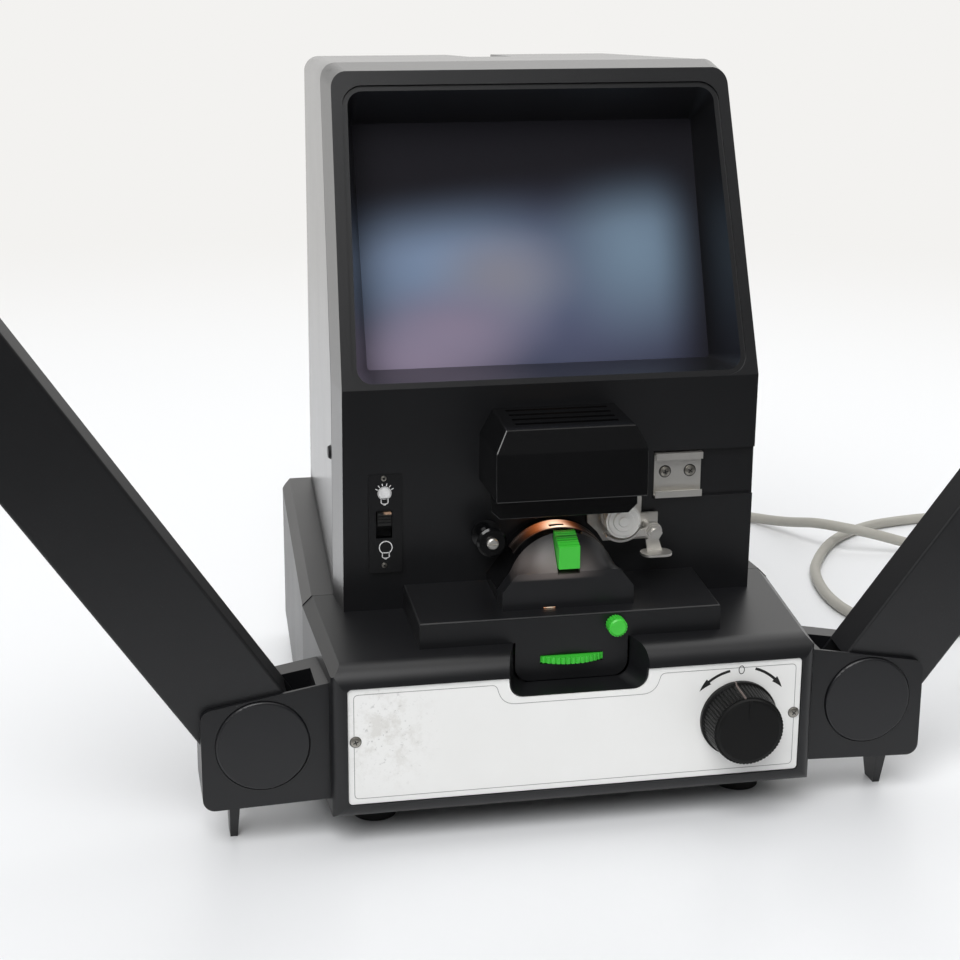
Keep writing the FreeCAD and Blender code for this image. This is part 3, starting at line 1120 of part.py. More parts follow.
def coil_path():
    """Half turns that spiral in on the table, climb a layer, and spiral out on top of it."""
    y, z = COIL_Y + COIL_OUTER, CORD / 2
    at = V(COIL_X, y, z)
    step = COIL_PITCH / 2
    radii = [COIL_OUTER - step * i for i in range(COIL_HALVES)]
    radii = radii + [radii[-1] - 0.9 * step] + radii[::-1]
    edges = [Part.LineSegment(at - V(CORD, 0, 0), at).toShape()]
    for i, radius in enumerate(radii):
        sign = 1 if i % 2 == 0 else -1
        heading = V(sign, 0, 0)
        rise = COIL_RISE if i == COIL_HALVES else 0.0
        end = at + V(0, -2 * radius * sign, rise)
        middle = (at + end) * 0.5 + heading * ((end - at).Length / 2)
        edges.append(Part.Arc(at, middle, end).toShape())
        at = end
    edges.append(Part.LineSegment(at, at - V(COIL_TAIL, 0, 0)).toShape())
    return edges, at - V(COIL_TAIL, 0, 0), radii


def least_gap(edges):
    """The smallest gap of a tube to itself, from points along its middle line."""
    points = []
    for edge in edges:
        points += edge.discretize(Distance=2.0)[:-1]
    far = int(4 * CORD / 2)
    gap = 1000.0
    for i, a in enumerate(points):
        for b in points[i + far:]:
            gap = min(gap, a.distanceToPoint(b) - CORD)
    return gap


def build_cord():
    """Strain relief, the loose cord, the coil that stores the rest of it, and the plug."""
    hole = 5.6
    relief = turned_y(CORD_X, CORD_Z, [
        (0, 249.6), (7.0, 249.6), (7.0, 252.4), (hole - 0.1, 252.4), (hole - 0.1, 255.1), (7.6, 255.1), (7.6, 257.0),
        (6.2, 258.0), (3.9, RELIEF_END), (0, RELIEF_END)])
    keep("cord_bushing", relief)
    edges, radii = tube_path(ROUTE)
    tube = sweep(edges, V(*ROUTE[0]), V(0, 1, 0), CORD / 2)
    length = sum(e.Length for e in edges)
    ideal = math.pi * CORD * CORD / 4 * length
    print("cord radii", [round(r) for r in radii])
    print("cord length %.0f, volume %.4f of ideal, gap %.2f" % (length, tube.Volume / ideal, least_gap(edges)))
    keep("mains_cord", tube)
    edges, end, radii = coil_path()
    coil = sweep(edges, edges[0].Vertexes[0].Point, V(1, 0, 0), CORD / 2)
    wound = sum(e.Length for e in edges)
    ideal = math.pi * CORD * CORD / 4 * wound
    print("coil radii", [round(r, 1) for r in radii])
    print("coil length %.0f, volume %.4f of ideal, gap %.2f" % (wound, coil.Volume / ideal, least_gap(edges)))
    print("whole cord %.0f" % (length + wound))
    keep("cord_coil", coil)

    guard = Part.makeCone(CORD / 2 + 0.4, 5.4, PLUG_GUARD, end, V(-1, 0, 0))
    sections = []
    for back, wide, high, radius in ((0, 11, 11, 3.5), (8, 24, 17, 6), (32, 26, 2 * end.z, 7)):
        x = end.x - PLUG_GUARD - back
        corners = [(x, end.y - wide / 2, end.z - high / 2), (x, end.y + wide / 2, end.z - high / 2),
                   (x, end.y + wide / 2, end.z + high / 2), (x, end.y - wide / 2, end.z + high / 2)]
        sections.append(rounded(corners, radius))
    body = Part.makeLoft(sections, True, True)
    face_x = end.x - PLUG_GUARD - 32
    pins = [Part.makeCylinder(2.4, 19, V(face_x + 1, end.y + side, end.z), V(-1, 0, 0)) for side in (-9.5, 9.5)]
    keep("mains_plug", join(guard, body, *pins))


def main():
    front_outer = build_housings()
    build_bottom()
    build_front_plate()
    build_screen()
    build_panel_parts(front_outer)
    build_bench(front_outer)
    build_gate(front_outer)
    build_film_rollers()
    build_lamp(front_outer)
    build_optics()
    build_electrics()
    build_speed_knob()
    left_y, right_y = build_drive()
    build_arms("left", -1, left_y)
    build_arms("right", 1, right_y)
    build_pivot_blocks()
    build_cord()
    os.makedirs("parts", exist_ok=True)
    for node, solids in SHAPES.items():
        for solid in solids:
            solid.translate(V(0, -DEPTH_CENTRE, 0))
            if not solid.isValid() or len(solid.Solids) != 1:
                print("CHECK", node, "valid", solid.isValid(), "solids", len(solid.Solids))
        shape = solids[0] if len(solids) == 1 else Part.makeCompound(solids)
        shape.exportStep("parts/" + node + ".step")
    print(len(SHAPES), "nodes")


main()
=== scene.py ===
# %% [markdown]
# # Dressing a film viewer
# The CAD model already holds every shape of this film viewer at its true size. This lesson loads
# it as a fixed frame, lights it softly on a pale floor, and gives each piece the finish that the
# real one has: textured black plastic, a white front plate, a ground-glass screen, nickel, green
# controls and a grey lead.

import math

import bmesh
import bpy
from mathutils import Matrix, Vector


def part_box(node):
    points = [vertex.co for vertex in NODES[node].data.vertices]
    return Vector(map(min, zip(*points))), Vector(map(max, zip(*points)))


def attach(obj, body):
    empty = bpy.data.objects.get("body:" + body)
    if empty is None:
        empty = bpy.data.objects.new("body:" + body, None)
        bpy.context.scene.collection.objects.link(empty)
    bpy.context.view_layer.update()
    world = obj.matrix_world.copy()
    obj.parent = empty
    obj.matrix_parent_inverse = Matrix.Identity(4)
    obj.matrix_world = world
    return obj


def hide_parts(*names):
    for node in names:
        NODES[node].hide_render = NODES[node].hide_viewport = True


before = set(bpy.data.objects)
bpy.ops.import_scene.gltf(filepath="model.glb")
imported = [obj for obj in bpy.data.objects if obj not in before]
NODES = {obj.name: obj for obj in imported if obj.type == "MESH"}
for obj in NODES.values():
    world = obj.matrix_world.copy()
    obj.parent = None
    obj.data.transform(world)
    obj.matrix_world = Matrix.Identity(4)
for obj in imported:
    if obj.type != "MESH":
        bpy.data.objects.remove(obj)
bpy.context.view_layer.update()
DEPTH_CENTRE = 0.11175


def at(x, y, z):
    """Millimetres measured from the front plate and the table become metres in the row's frame."""
    return Vector((x / 1000.0, y / 1000.0 - DEPTH_CENTRE, z / 1000.0))


# %% [markdown]
# ## Camera
# A camera is a place, a direction and a lens. Here the place is in front of the viewer, a little
# to its left and above it, and the long lens keeps the front almost square. The three axes of the
# camera are worked out from its yaw, pitch and roll, because that is easier to read than a matrix
# of nine numbers.

# %% Camera
YAW, PITCH, ROLL = math.radians(11.564), math.radians(16.174), math.radians(0.299)
FOCAL_PIXELS = 1979.1
PICTURE = 960
CAMERA_PLACE = (-190.3, -725.8, 367.9)

forward = Vector((
    math.sin(YAW) * math.cos(PITCH), math.cos(YAW) * math.cos(PITCH), -math.sin(PITCH)))
level = Vector((math.cos(YAW), -math.sin(YAW), 0.0))
upright = level.cross(forward)
right = level * math.cos(ROLL) + upright * math.sin(ROLL)
up = upright * math.cos(ROLL) - level * math.sin(ROLL)
camera_data = bpy.data.cameras.new("camera")
camera_data.sensor_width = 36.0
camera_data.lens = FOCAL_PIXELS / PICTURE * camera_data.sensor_width
camera_data.clip_end = 20.0
camera = bpy.data.objects.new("camera", camera_data)
bpy.context.scene.collection.objects.link(camera)
turn = Matrix((right, up, -forward)).transposed().to_4x4()
camera.matrix_world = Matrix.Translation(at(*CAMERA_PLACE)) @ turn
bpy.context.scene.camera = camera
print("lens", round(camera_data.lens, 1), "mm")

# %% [markdown]
# ## Mains cord
# A flexible lead is a fixed length of something round that leaves the case, drops to the table and
# lies in loose bends. A curve object with a round bevel fits it better than a mesh, because the
# route can be changed by moving a few points. The spline is a NURBS of order three, so the line
# runs smoothly inside its control points. The bevel is one metre deep and each point scales it down
# to the radius of the lead, so that the curve's box stays close round the line. What the camera does
# not see is wound into a coil in two layers, which spirals in on the table and out again on top.

# %% Mains cord
CORD = 6.0
ROUTE = [
    (62, 288, 32), (62, 302, 32), (63, 317.5, 28), (65, 332, 19.5),
    (68, 346, 10), (73, 362, 4), (82, 379, 3), (97, 395, 3),
    (117, 407.5, 3), (140, 415, 3), (163, 416.4, 3), (183, 414, 3),
    (199, 406, 3), (213, 391.5, 3.4), (221, 373, 6.5), (226, 355, 11),
    (232, 338.5, 15.6), (244.5, 326.5, 15.6), (261.5, 320.5, 12.5), (279, 317, 7.5),
    (296.5, 311, 3.5), (316, 303.5, 3), (338.5, 302.5, 3), (358, 314.5, 3),
    (364.3, 336, 3), (359.8, 358, 3), (342, 372, 3), (319.5, 374, 3),
    (298, 370.5, 3), (279.5, 366, 3), (263, 356.5, 3), (248, 344.5, 3),
    (235, 328.5, 3), (223.5, 310, 3), (213.6, 290.7, 3), (207.7, 268, 3),
    (204.5, 244, 3), (206, 221, 3), (214, 200, 3), (230, 186.5, 3),
    (251, 182, 3), (273, 184.5, 3), (292, 189, 3), (308, 189, 3),
]
COIL = (314.0, 150.0)
COIL_OUTER = 39.0
COIL_PITCH = 6.8
COIL_HALVES = 4
COIL_TAIL = 16.0
POINTS_A_HALF = 8


def coil_points():
    """Control points of the stored coil: half turns that shrink, climb a layer and grow again."""
    step = COIL_PITCH / 2
    radii = [COIL_OUTER - step * i for i in range(COIL_HALVES)]
    radii = radii + [radii[-1] - 0.9 * step] + radii[::-1]
    points = []
    x, y, z = COIL[0], COIL[1] + COIL_OUTER, CORD / 2
    for i, radius in enumerate(radii):
        sign = 1 if i % 2 == 0 else -1
        rise = COIL_PITCH if i == COIL_HALVES else 0.0
        for k in range(POINTS_A_HALF):
            angle = math.pi * (k + 0.5) / POINTS_A_HALF
            out = radius / math.cos(math.pi / POINTS_A_HALF / 2) ** 0.5
            points.append((
                x + sign * out * math.sin(angle),
                y - sign * radius + sign * out * math.cos(angle),
                z + rise * (1 - math.cos(angle)) / 2,
            ))
        y -= 2 * radius * sign
        z += rise
    return points, (x, y, z)


wound, coil_end = coil_points()
tail = (coil_end[0] - COIL_TAIL, coil_end[1], coil_end[2])
line = [at(*p) for p in ROUTE + [(COIL[0] - 2, 189, 3)] + wound + [coil_end, tail]]
flex_data = bpy.data.curves.new("mains_flex", "CURVE")
flex_data.dimensions = "3D"
flex_data.bevel_depth = 1.0
flex_data.bevel_resolution = 5
flex_data.resolution_u = 6
flex_data.use_fill_caps = True
spline = flex_data.splines.new("NURBS")
spline.points.add(len(line) - 1)
for point, place in zip(spline.points, line):
    point.co = (*place, 1.0)
    point.radius = CORD / 2000.0
spline.order_u = 3
spline.use_endpoint_u = True
flex = bpy.data.objects.new("mains_flex", flex_data)
bpy.context.scene.collection.objects.link(flex)
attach(flex, "case")
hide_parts("mains_cord", "cord_coil")
at(62, 288, 32)
print(len(line), "control points on the lead, of which", len(wound), "in the coil")

# %% [markdown]
# ## Writing shaders as sums
# Node trees read poorly as long lists of links. Two small classes help: a Signal is one output of
# a node, and adding or multiplying signals adds the Math node that does it; a Shading is a node
# tree whose one method adds any other node. A Finish is the Shading of a material, with a
# Principled shader at its end.

# %% Signals, shadings and finishes
class Signal:
    """A number that varies over a surface or a sky."""

    def __init__(self, home, socket):
        self.home = home
        self.socket = socket

    def math(self, operation, a, b=0.0):
        return self.home.node("ShaderNodeMath", {"operation": operation}, {0: a, 1: b})

    def __add__(self, other):
        return self.math("ADD", self, other)

    def __sub__(self, other):
        return self.math("SUBTRACT", self, other)

    def __mul__(self, other):
        return self.math("MULTIPLY", self, other)

    def __rsub__(self, other):
        return self.math("SUBTRACT", other, self)

    __radd__ = __add__
    __rmul__ = __mul__


class Shading:
    """A node tree that grows by one method."""

    def __init__(self, tree):
        self.tree = tree

    def node(self, kind, settings, values, output=0):
        made = self.tree.nodes.new(kind)
        for key, value in settings.items():
            if key == "stops":
                ramp = made.color_ramp
                while len(ramp.elements) < len(value):
                    ramp.elements.new(0.5)
                for element, (position, colour) in zip(ramp.elements, value):
                    element.position = position
                    element.color = grey(colour)
            else:
                setattr(made, key, value)
        for key, value in values.items():
            if isinstance(value, Signal):
                self.tree.links.new(value.socket, made.inputs[key])
            else:
                made.inputs[key].default_value = value
        return Signal(self, made.outputs[output])

    def fade(self, signal, start, end):
        """0 at start, 1 at end, smooth between; start may be the larger."""
        return self.node("ShaderNodeMapRange", {"interpolation_type": "SMOOTHSTEP"}, {
            "Value": signal, "From Min": start, "From Max": end})

    def ramp(self, signal, stops):
        return self.node("ShaderNodeValToRGB", {"stops": stops}, {"Fac": signal})

    def mix(self, share, a, b):
        """Blend two colours."""
        return self.node("ShaderNodeMix", {"data_type": "RGBA"}, {0: share, 6: a, 7: b}, 2)


class Finish(Shading):
    """A material built from nodes."""

    def __init__(self, name, constants=None):
        self.material = bpy.data.materials.new(name)
        self.material.use_nodes = True
        super().__init__(self.material.node_tree)
        self.shader = self.tree.nodes["Principled BSDF"]
        self.place = self.node("ShaderNodeTexCoord", {}, {}, "Object")
        for key, value in (constants or {}).items():
            self.set(key, value)

    def set(self, socket, value):
        if isinstance(value, Signal):
            self.tree.links.new(value.socket, self.shader.inputs[socket])
        else:
            self.shader.inputs[socket].default_value = value

    def axis(self, name):
        """Millimetres along X, Y or Z, measured from the front plate and the table."""
        metres = self.node("ShaderNodeSeparateXYZ", {}, {"Vector": self.place}, name)
        return (metres + DEPTH_CENTRE) * 1000.0 if name == "Y" else metres * 1000.0

    def noise(self, scale, detail=3.0, roughness=0.5, stretch=(1.0, 1.0, 1.0)):
        """Cloudy noise; scale counts blobs per metre, stretch squeezes them along an axis."""
        place = self.node("ShaderNodeMapping", {}, {"Vector": self.place, "Scale": stretch})
        return self.node("ShaderNodeTexNoise", {}, {
            "Vector": place, "Scale": scale, "Detail": detail, "Roughness": roughness})

    def blob(self, across, up, x, z, wide, tall):
        """1 at the place (x, z), fading smoothly to 0 on an ellipse round it."""
        right = (across - x) * (1.0 / wide)
        above = (up - z) * (1.0 / tall)
        return self.fade(right.math("SQRT", right * right + above * above), 1.0, 0.0)

    def bump(self, height, strength, distance):
        self.set("Normal", self.node("ShaderNodeBump", {}, {
            "Strength": strength, "Distance": distance, "Height": height}))


def grey(value, tint=(1.0, 1.0, 1.0)):
    return (value * tint[0], value * tint[1], value * tint[2], 1.0)


FINISHES = {}


def dress(finish, *names):
    """Give the material to CAD nodes or new pieces."""
    for name in names:
        piece = NODES.get(name) or bpy.data.objects[name]
        piece.data.materials.clear()
        piece.data.materials.append(finish.material)
        FINISHES[name] = finish.material.name
    print(finish.material.name, "with", len(finish.tree.nodes), "nodes on", ", ".join(names))


print("helpers ready:", Signal.__name__, Shading.__name__, Finish.__name__)

# %% [markdown]
# ## Textured black plastic
# The case and arms are moulded in black ABS. The mould is spark eroded, which leaves a fine
# leather-like grain about half a millimetre across; it breaks the shine into a soft sheen, which is
# almost a mirror where the eye grazes the surface. Dust and handling make the sheen uneven, so the
# roughness also drifts slowly, and pale specks of lint lie on top.

# %% Textured black plastic
BLUE_BLACK = (0.92, 0.95, 1.12)
PLASTIC = {"IOR": 1.5}


def moulded(name, level, roughness, grain, bump):
    finish = Finish(name, PLASTIC)
    pits = finish.noise(grain, 2.0, 0.6)
    cloud = finish.noise(14.0, 4.0, 0.6)
    lint = finish.ramp(finish.noise(2600.0, 1.0), [(0.72, 0.0), (0.78, 1.0)])
    tone = finish.mix(cloud, grey(level * 0.75, BLUE_BLACK), grey(level * 1.3, BLUE_BLACK))
    finish.set("Base Color", finish.mix(lint * 0.05, tone, grey(0.4)))
    finish.set("Roughness", roughness - 0.05 + cloud * 0.1 + pits * 0.05)
    finish.bump(pits, bump, 0.0001)
    return finish


case_black = moulded("case_black", 0.0060, 0.34, 2200.0, 0.22)
arm_black = moulded("arm_black", 0.0060, 0.42, 1500.0, 0.4)
inner_black = moulded("inner_black", 0.006, 0.55, 900.0, 0.2)
cover_black = moulded("cover_black", 0.008, 0.32, 2600.0, 0.2)
dress(
    case_black, "front_housing", "rear_housing", "gate_bench", "left_pivot_block", "right_pivot_block")
dress(arm_black, "left_arm", "left_arm_cover", "right_arm", "right_arm_cover")
dress(
    inner_black, "bottom_plate", "switch_body", "lens_guide", "lens_barrel", "speed_control", "framing_mask")
dress(cover_black, "left_spindle", "right_spindle", "pivot_caps")

# %% [markdown]
# The sides and top of the hood shine more in the photograph than the base and the fronts do. A coat
# over the plastic gives that shine. It fades out below the foot of the hood, and wherever the surface
# faces forwards, which the Normal output tells.

# %% Polished hood
HOOD_FOOT_Z = 86.0
HOOD_COAT, COAT_LOST_IN_FRONT = 0.75, 0.70
case_black.set("Coat Roughness", 0.22)
facing = case_black.node("ShaderNodeTexCoord", {}, {}, "Normal")
facing_depth = case_black.node("ShaderNodeSeparateXYZ", {}, {"Vector": facing}, "Y")
forwards = case_black.fade(facing_depth, -0.5, -0.85)
above_foot = case_black.fade(case_black.axis("Z"), HOOD_FOOT_Z, HOOD_FOOT_Z + 8.0)
case_black.set("Coat Weight", above_foot * (HOOD_COAT - forwards * COAT_LOST_IN_FRONT))
print("coat above", HOOD_FOOT_Z, "mm")

# %% [markdown]
# The curved top of the gate cover has a painted brownish sheen beside the tab: a soft patch of a
# paler black gives it, and stops at the edge of the flat front.

# %% Painted sheen on the gate cover
COVER_EDGE_Z = 102.2
gate_black = moulded("gate_black", 0.008, 0.32, 2600.0, 0.2)
cover_up = gate_black.axis("Z")
# The painted sheen: a paler, brownish base colour on the curved top beside the tab.
painted_sheen = gate_black.blob(gate_black.axis("X"), cover_up, -7.0, 107.0, 25.0, 12.0)
painted_sheen = painted_sheen * gate_black.fade(cover_up, COVER_EDGE_Z, COVER_EDGE_Z + 1.2)
gate_black.set("Base Color", gate_black.mix(
    painted_sheen, grey(0.008, BLUE_BLACK), (0.125, 0.105, 0.098, 1.0)))
dress(gate_black, "gate_cover")

# %% [markdown]
# ## Smooth black plastic
# The lamp housing, film drum, roller and switch slider are smooth mouldings: darker, with clear
# reflections and a few hair scratches that only show in the shine. The top edge of the slider
# carries a painted warm highlight.

# %% Smooth black plastic
def polished(name, level, roughness):
    finish = Finish(name, PLASTIC)
    cloud = finish.noise(20.0, 3.0)
    hair = finish.ramp(finish.noise(380.0, 4.0, 0.7, (1.0, 1.0, 14.0)), [(0.60, 0.0), (0.72, 1.0)])
    finish.set("Base Color", finish.mix(cloud, grey(level * 0.7), grey(level * 1.3, BLUE_BLACK)))
    finish.set("Roughness", roughness + cloud * 0.06 + hair * 0.08)
    finish.bump(hair + cloud * 0.3, 0.04, 0.0001)
    return finish


lamp_black = polished("lamp_black", 0.0035, 0.11)
switch_black = polished("switch_black", 0.006, 0.3)
dress(lamp_black, "gate_drum", "film_roller")
dress(switch_black, "switch_plate")

slider = polished("slider_black", 0.012, 0.3)
# A painted warm highlight along the slider's top edge, in its base colour.
glint_top = slider.fade(slider.axis("Z"), 125.0, 125.7)
painted_glint = glint_top * slider.fade(slider.axis("X"), -72.6, -71.2)
slider.set("Base Color", slider.mix(painted_glint, grey(0.012), (0.42, 0.27, 0.18, 1.0)))
dress(slider, "lamp_switch")

# %% [markdown]
# ## Speed knob
# The knob is satin black with a fine knurl. A thin pale line on the top of its side points at the
# zero, so the line is a narrow mask along X, cut off below the knob's shoulder.

# %% Speed knob
KNOB = (68.0, 44.6)
POINTER_X = 66.0
SHOULDER_Z = KNOB[1] + 14.0
knob_black = polished("knob_black", 0.004, 0.38)
knob_black.set("Specular IOR Level", 0.15)
off_line = knob_black.axis("X") - POINTER_X
on_line = knob_black.fade(off_line * off_line, 0.16, 0.06)
on_side = knob_black.fade(knob_black.axis("Z"), SHOULDER_Z, SHOULDER_Z + 0.3)
knob_black.set("Base Color", knob_black.mix(
    on_line * on_side, grey(0.007), (0.16, 0.13, 0.12, 1.0)))
dress(knob_black, "speed_knob")

# %% [markdown]
# ## Metal parts
# Nickel-plated steel is bright and slightly warm, pulleys are turned brass, and brushed pieces show
# fine lines. Metal looks like metal mostly through what it reflects, so the colours stay plain and
# the roughness carries the detail. The sprocket's face is turned on a lathe, so its lines are rings
# round its axle. It looks paler than what it could mirror, so it is only half metallic.

# %% Metal
BRUSH_ROUGHNESS = 0.12


def metal(name, colour, roughness, lines=(1.0, 1.0, 1.0)):
    finish = Finish(name, {"Metallic": 1.0})
    brush = finish.noise(600.0, 3.0, 0.6, lines)
    stain = finish.noise(60.0, 3.0)
    tarnished = tuple(0.75 * c for c in colour[:3]) + (1.0,)
    finish.set("Base Color", finish.mix(stain, colour, tarnished))
    finish.set("Roughness", roughness + brush * BRUSH_ROUGHNESS + stain * 0.08)
    finish.bump(brush, 0.08, 0.00005)
    return finish


nickel = metal("nickel", (0.88, 0.86, 0.82, 1.0), 0.34, (1.0, 1.0, 10.0))
screw_nickel = metal("screw_nickel", (0.42, 0.40, 0.36, 1.0), 0.25)
black_steel = metal("black_steel", (0.035, 0.035, 0.037, 1.0), 0.35)
steel = metal("steel", (0.58, 0.57, 0.56, 1.0), 0.28, (1.0, 1.0, 12.0))
brass = metal("brass", (0.78, 0.60, 0.30, 1.0), 0.22)
dress(nickel, "accessory_shoe", "roller_screw", "lever_nut", "sprocket_bracket", "release_lever")
dress(screw_nickel, "panel_screws")
dress(black_steel, "housing_screws")
dress(steel, "motor", "pivot_pins")
dress(brass, "motor_pulley", "left_pivot_pulley", "right_pivot_pulley")
dress(metal("winding", (0.30, 0.20, 0.12, 1.0), 0.45), "transformer")

turned = metal("turned_aluminium", (0.92, 0.91, 0.88, 1.0), 0.46)
turned.set("Metallic", 0.5)
SPROCKET = (27.5, 120.5)
RING_WAVES = 14.0
out_x = turned.axis("X") - SPROCKET[0]
out_z = turned.axis("Z") - SPROCKET[1]
from_axle = out_x.math("SQRT", out_x * out_x + out_z * out_z)
grooves = from_axle.math("SINE", from_axle * RING_WAVES)
turned.bump(grooves, 0.12, 0.00004)
dress(turned, "film_sprocket")

# %% [markdown]
# ## Film track
# The steel track bends over the drum. The light of the lamp above is painted on it as emission: a
# small patch glows white, with orange round it, and the painted light dies away along the rails. It
# is a blob about the gate's axis that drives the emission colour, so it is seen from every side.

# %% Film track
FILM_Y = 43.7
PAINTED_LIGHT_WHITE = (1.0, 0.80, 0.60, 1.0)
PAINTED_LIGHT_ORANGE = (0.42, 0.11, 0.03, 1.0)
track = metal("lit_steel", (0.26, 0.22, 0.20, 1.0), 0.24, (1.0, 12.0, 1.0))
along = track.axis("X")
across_film = track.axis("Y")
# Painted light from the lamp: a white core and an orange halo of emission on the track.
core = track.blob(along, across_film, -0.5, FILM_Y - 3.0, 10.0, 16.0)
halo = track.blob(along, across_film, -2.0, FILM_Y, 17.0, 18.0)
painted_orange = track.mix(halo * halo, grey(0.0), PAINTED_LIGHT_ORANGE)
track.set("Emission Color", track.mix(core * core, painted_orange, PAINTED_LIGHT_WHITE))
track.set("Emission Strength", 1.8)
dress(track, "film_track")

# %% [markdown]
# ## Green controls
# The three controls that are touched while viewing are moulded in bright green plastic, so that
# they are found in a dark room. The tab that marks a frame has fine ribs across its top, for the
# fingertip; they are drawn as a wave along Y that is kept to the sloping part.

# %% Green plastic
def leaf_green(name):
    finish = Finish(name, PLASTIC)
    drift = finish.noise(90.0, 3.0)
    finish.set("Base Color", finish.mix(
        drift, (0.036, 0.47, 0.032, 1.0), (0.060, 0.60, 0.050, 1.0)))
    finish.set("Roughness", 0.34 + drift * 0.15)
    finish.bump(finish.noise(1500.0, 2.0), 0.1, 0.0001)
    return finish


dress(leaf_green("green_plastic"), "framing_knob", "focus_wheel")
tab_green = leaf_green("tab_green")
RIB_START, RIB_STEP, RIB_LOW = 23.6, 1.25, 114.6
ribs_y = tab_green.axis("Y")
wave = ribs_y.math("SINE", (ribs_y - RIB_START) * (2.0 * math.pi / RIB_STEP))
behind_front = tab_green.fade(ribs_y, RIB_START - 0.1, RIB_START + 0.1)
on_top = behind_front * tab_green.fade(tab_green.axis("Z"), RIB_LOW, RIB_LOW + 0.6)
valley = tab_green.fade(wave, -0.2, -0.9) * on_top
tab_green.set("Base Color", tab_green.mix(
    valley, (0.045, 0.50, 0.038, 1.0), (0.010, 0.15, 0.010, 1.0)))
tab_green.bump(wave * on_top, 0.5, 0.0003)
dress(tab_green, "marker_button")

# %% [markdown]
# ## White front plate
# The front plate is aluminium sheet with satin white lacquer. It is nearly clean, with a rubbed and
# stained patch at its left end, so a stain mask fades in there: blots of noise inside a wide blob.

# %% White lacquer
white = Finish("white_lacquer", {"IOR": 1.45})
grime_place = white.blob(white.axis("X"), white.axis("Z"), -80.0, 50.0, 27.0, 34.0)
blots = white.ramp(white.noise(150.0, 6.0, 0.7), [(0.47, 0.0), (0.60, 1.0)])
haze = white.noise(30.0, 4.0)
clean = white.mix(haze, (0.79, 0.79, 0.775, 1.0), (0.84, 0.84, 0.83, 1.0))
scuff = white.fade(white.noise(420.0, 3.0, 0.7), 0.58, 0.70) * grime_place
white.set("Base Color", white.mix(
    blots * grime_place * 0.42, white.mix(scuff * 0.6, clean, grey(0.30)), (0.52, 0.50, 0.46, 1.0)))
white.set("Roughness", 0.34 + haze * 0.1 + blots * grime_place * 0.25)
white.bump(white.noise(900.0, 2.0), 0.04, 0.0001)
dress(white, "front_plate")

# %% [markdown]
# ## Ground-glass screen
# The screen is glass with a finely ground back. Unlit, it scatters what little light the inside of
# the hood gives it, and that light and shade are painted into its base colour: painted shade leaves
# it nearly black under the top edge and towards the right end, and painted light gives two
# blue-grey clouds, a rosy one low on the left and a violet shade between them. Each cloud is a blob
# in the plane of the screen, and a grain much finer than a millimetre gives the bite of ground glass.

# %% Ground glass
screen = Finish("ground_glass", {"Specular IOR Level": 0.1, "IOR": 1.4})
side = screen.axis("X")
height = screen.axis("Z")
PAINTED_LIGHT_CLOUDS = [
    ((8.0, 200.0, 130.0, 84.0), (0.078, 0.088, 0.150)),
    ((-42.0, 223.0, 76.0, 50.0), (0.172, 0.232, 0.340)),
    ((46.0, 226.0, 50.0, 50.0), (0.150, 0.215, 0.290)),
    ((-14.0, 216.0, 40.0, 26.0), (0.205, 0.207, 0.255)),
    ((-36.0, 196.0, 52.0, 24.0), (0.215, 0.185, 0.260)),
    ((-52.0, 183.0, 54.0, 24.0), (0.255, 0.215, 0.300)),
]
SCREEN_DARK = (0.006, 0.0055, 0.008, 1.0)
tone = SCREEN_DARK
for (x, z, wide, tall), colour in PAINTED_LIGHT_CLOUDS:
    tone = screen.mix(screen.blob(side, height, x, z, wide, tall), tone, (*colour, 1.0))
# Painted shade: the screen goes dark towards its top edge and towards its right end.
shade = screen.fade(height + side * -0.10, 262.0, 228.0) * screen.fade(side, 80.0, 52.0)
tone = screen.mix(shade, SCREEN_DARK, tone)
bite = screen.noise(3200.0, 2.0)
screen.set("Base Color", screen.mix(bite * 0.04, tone, (0.20, 0.20, 0.24, 1.0)))
screen.set("Roughness", 0.45 + bite * 0.2)
screen.bump(bite, 0.10, 0.0001)
dress(screen, "screen")

# %% [markdown]
# ## Clear glass, mirrors, lamp
# These sit inside and show only through the gate. The lamp glows behind the condenser.

# %% Glass, mirrors and lamp
clear = Finish("clear_glass", {"Transmission Weight": 1.0, "IOR": 1.5})
clear.set("Base Color", clear.mix(clear.noise(40.0), (0.93, 0.97, 0.96, 1.0), (0.97, 0.99, 0.98, 1.0)))
clear.set("Roughness", 0.02 + clear.noise(30.0) * 0.05)
mirror = Finish("mirror_silver", {"Metallic": 1.0})
mirror.set("Base Color", mirror.mix(mirror.noise(25.0), (0.86, 0.87, 0.88, 1.0), (0.92, 0.92, 0.92, 1.0)))
mirror.set("Roughness", 0.03 + mirror.noise(50.0) * 0.06)
glow = Finish("lamp_glow", {"Roughness": 0.3, "Emission Strength": 6.0})
heat = glow.noise(200.0, 2.0)
glow.set("Base Color", glow.mix(heat, (0.9, 0.8, 0.6, 1.0), (1.0, 0.9, 0.7, 1.0)))
glow.set("Emission Color", glow.mix(heat, (1.0, 0.55, 0.22, 1.0), (1.0, 0.72, 0.40, 1.0)))
dress(clear, "lens_glass", "condenser_lens", "rotary_prism")
dress(mirror, "lower_mirror", "rear_mirror")
dress(glow, "lamp")

# %% [markdown]
# ## Rubber, belts and the lead's sheath
# Feet and belts are matte black rubber. The lead has a grey-beige sheath that shines a little, with
# grubby stretches.

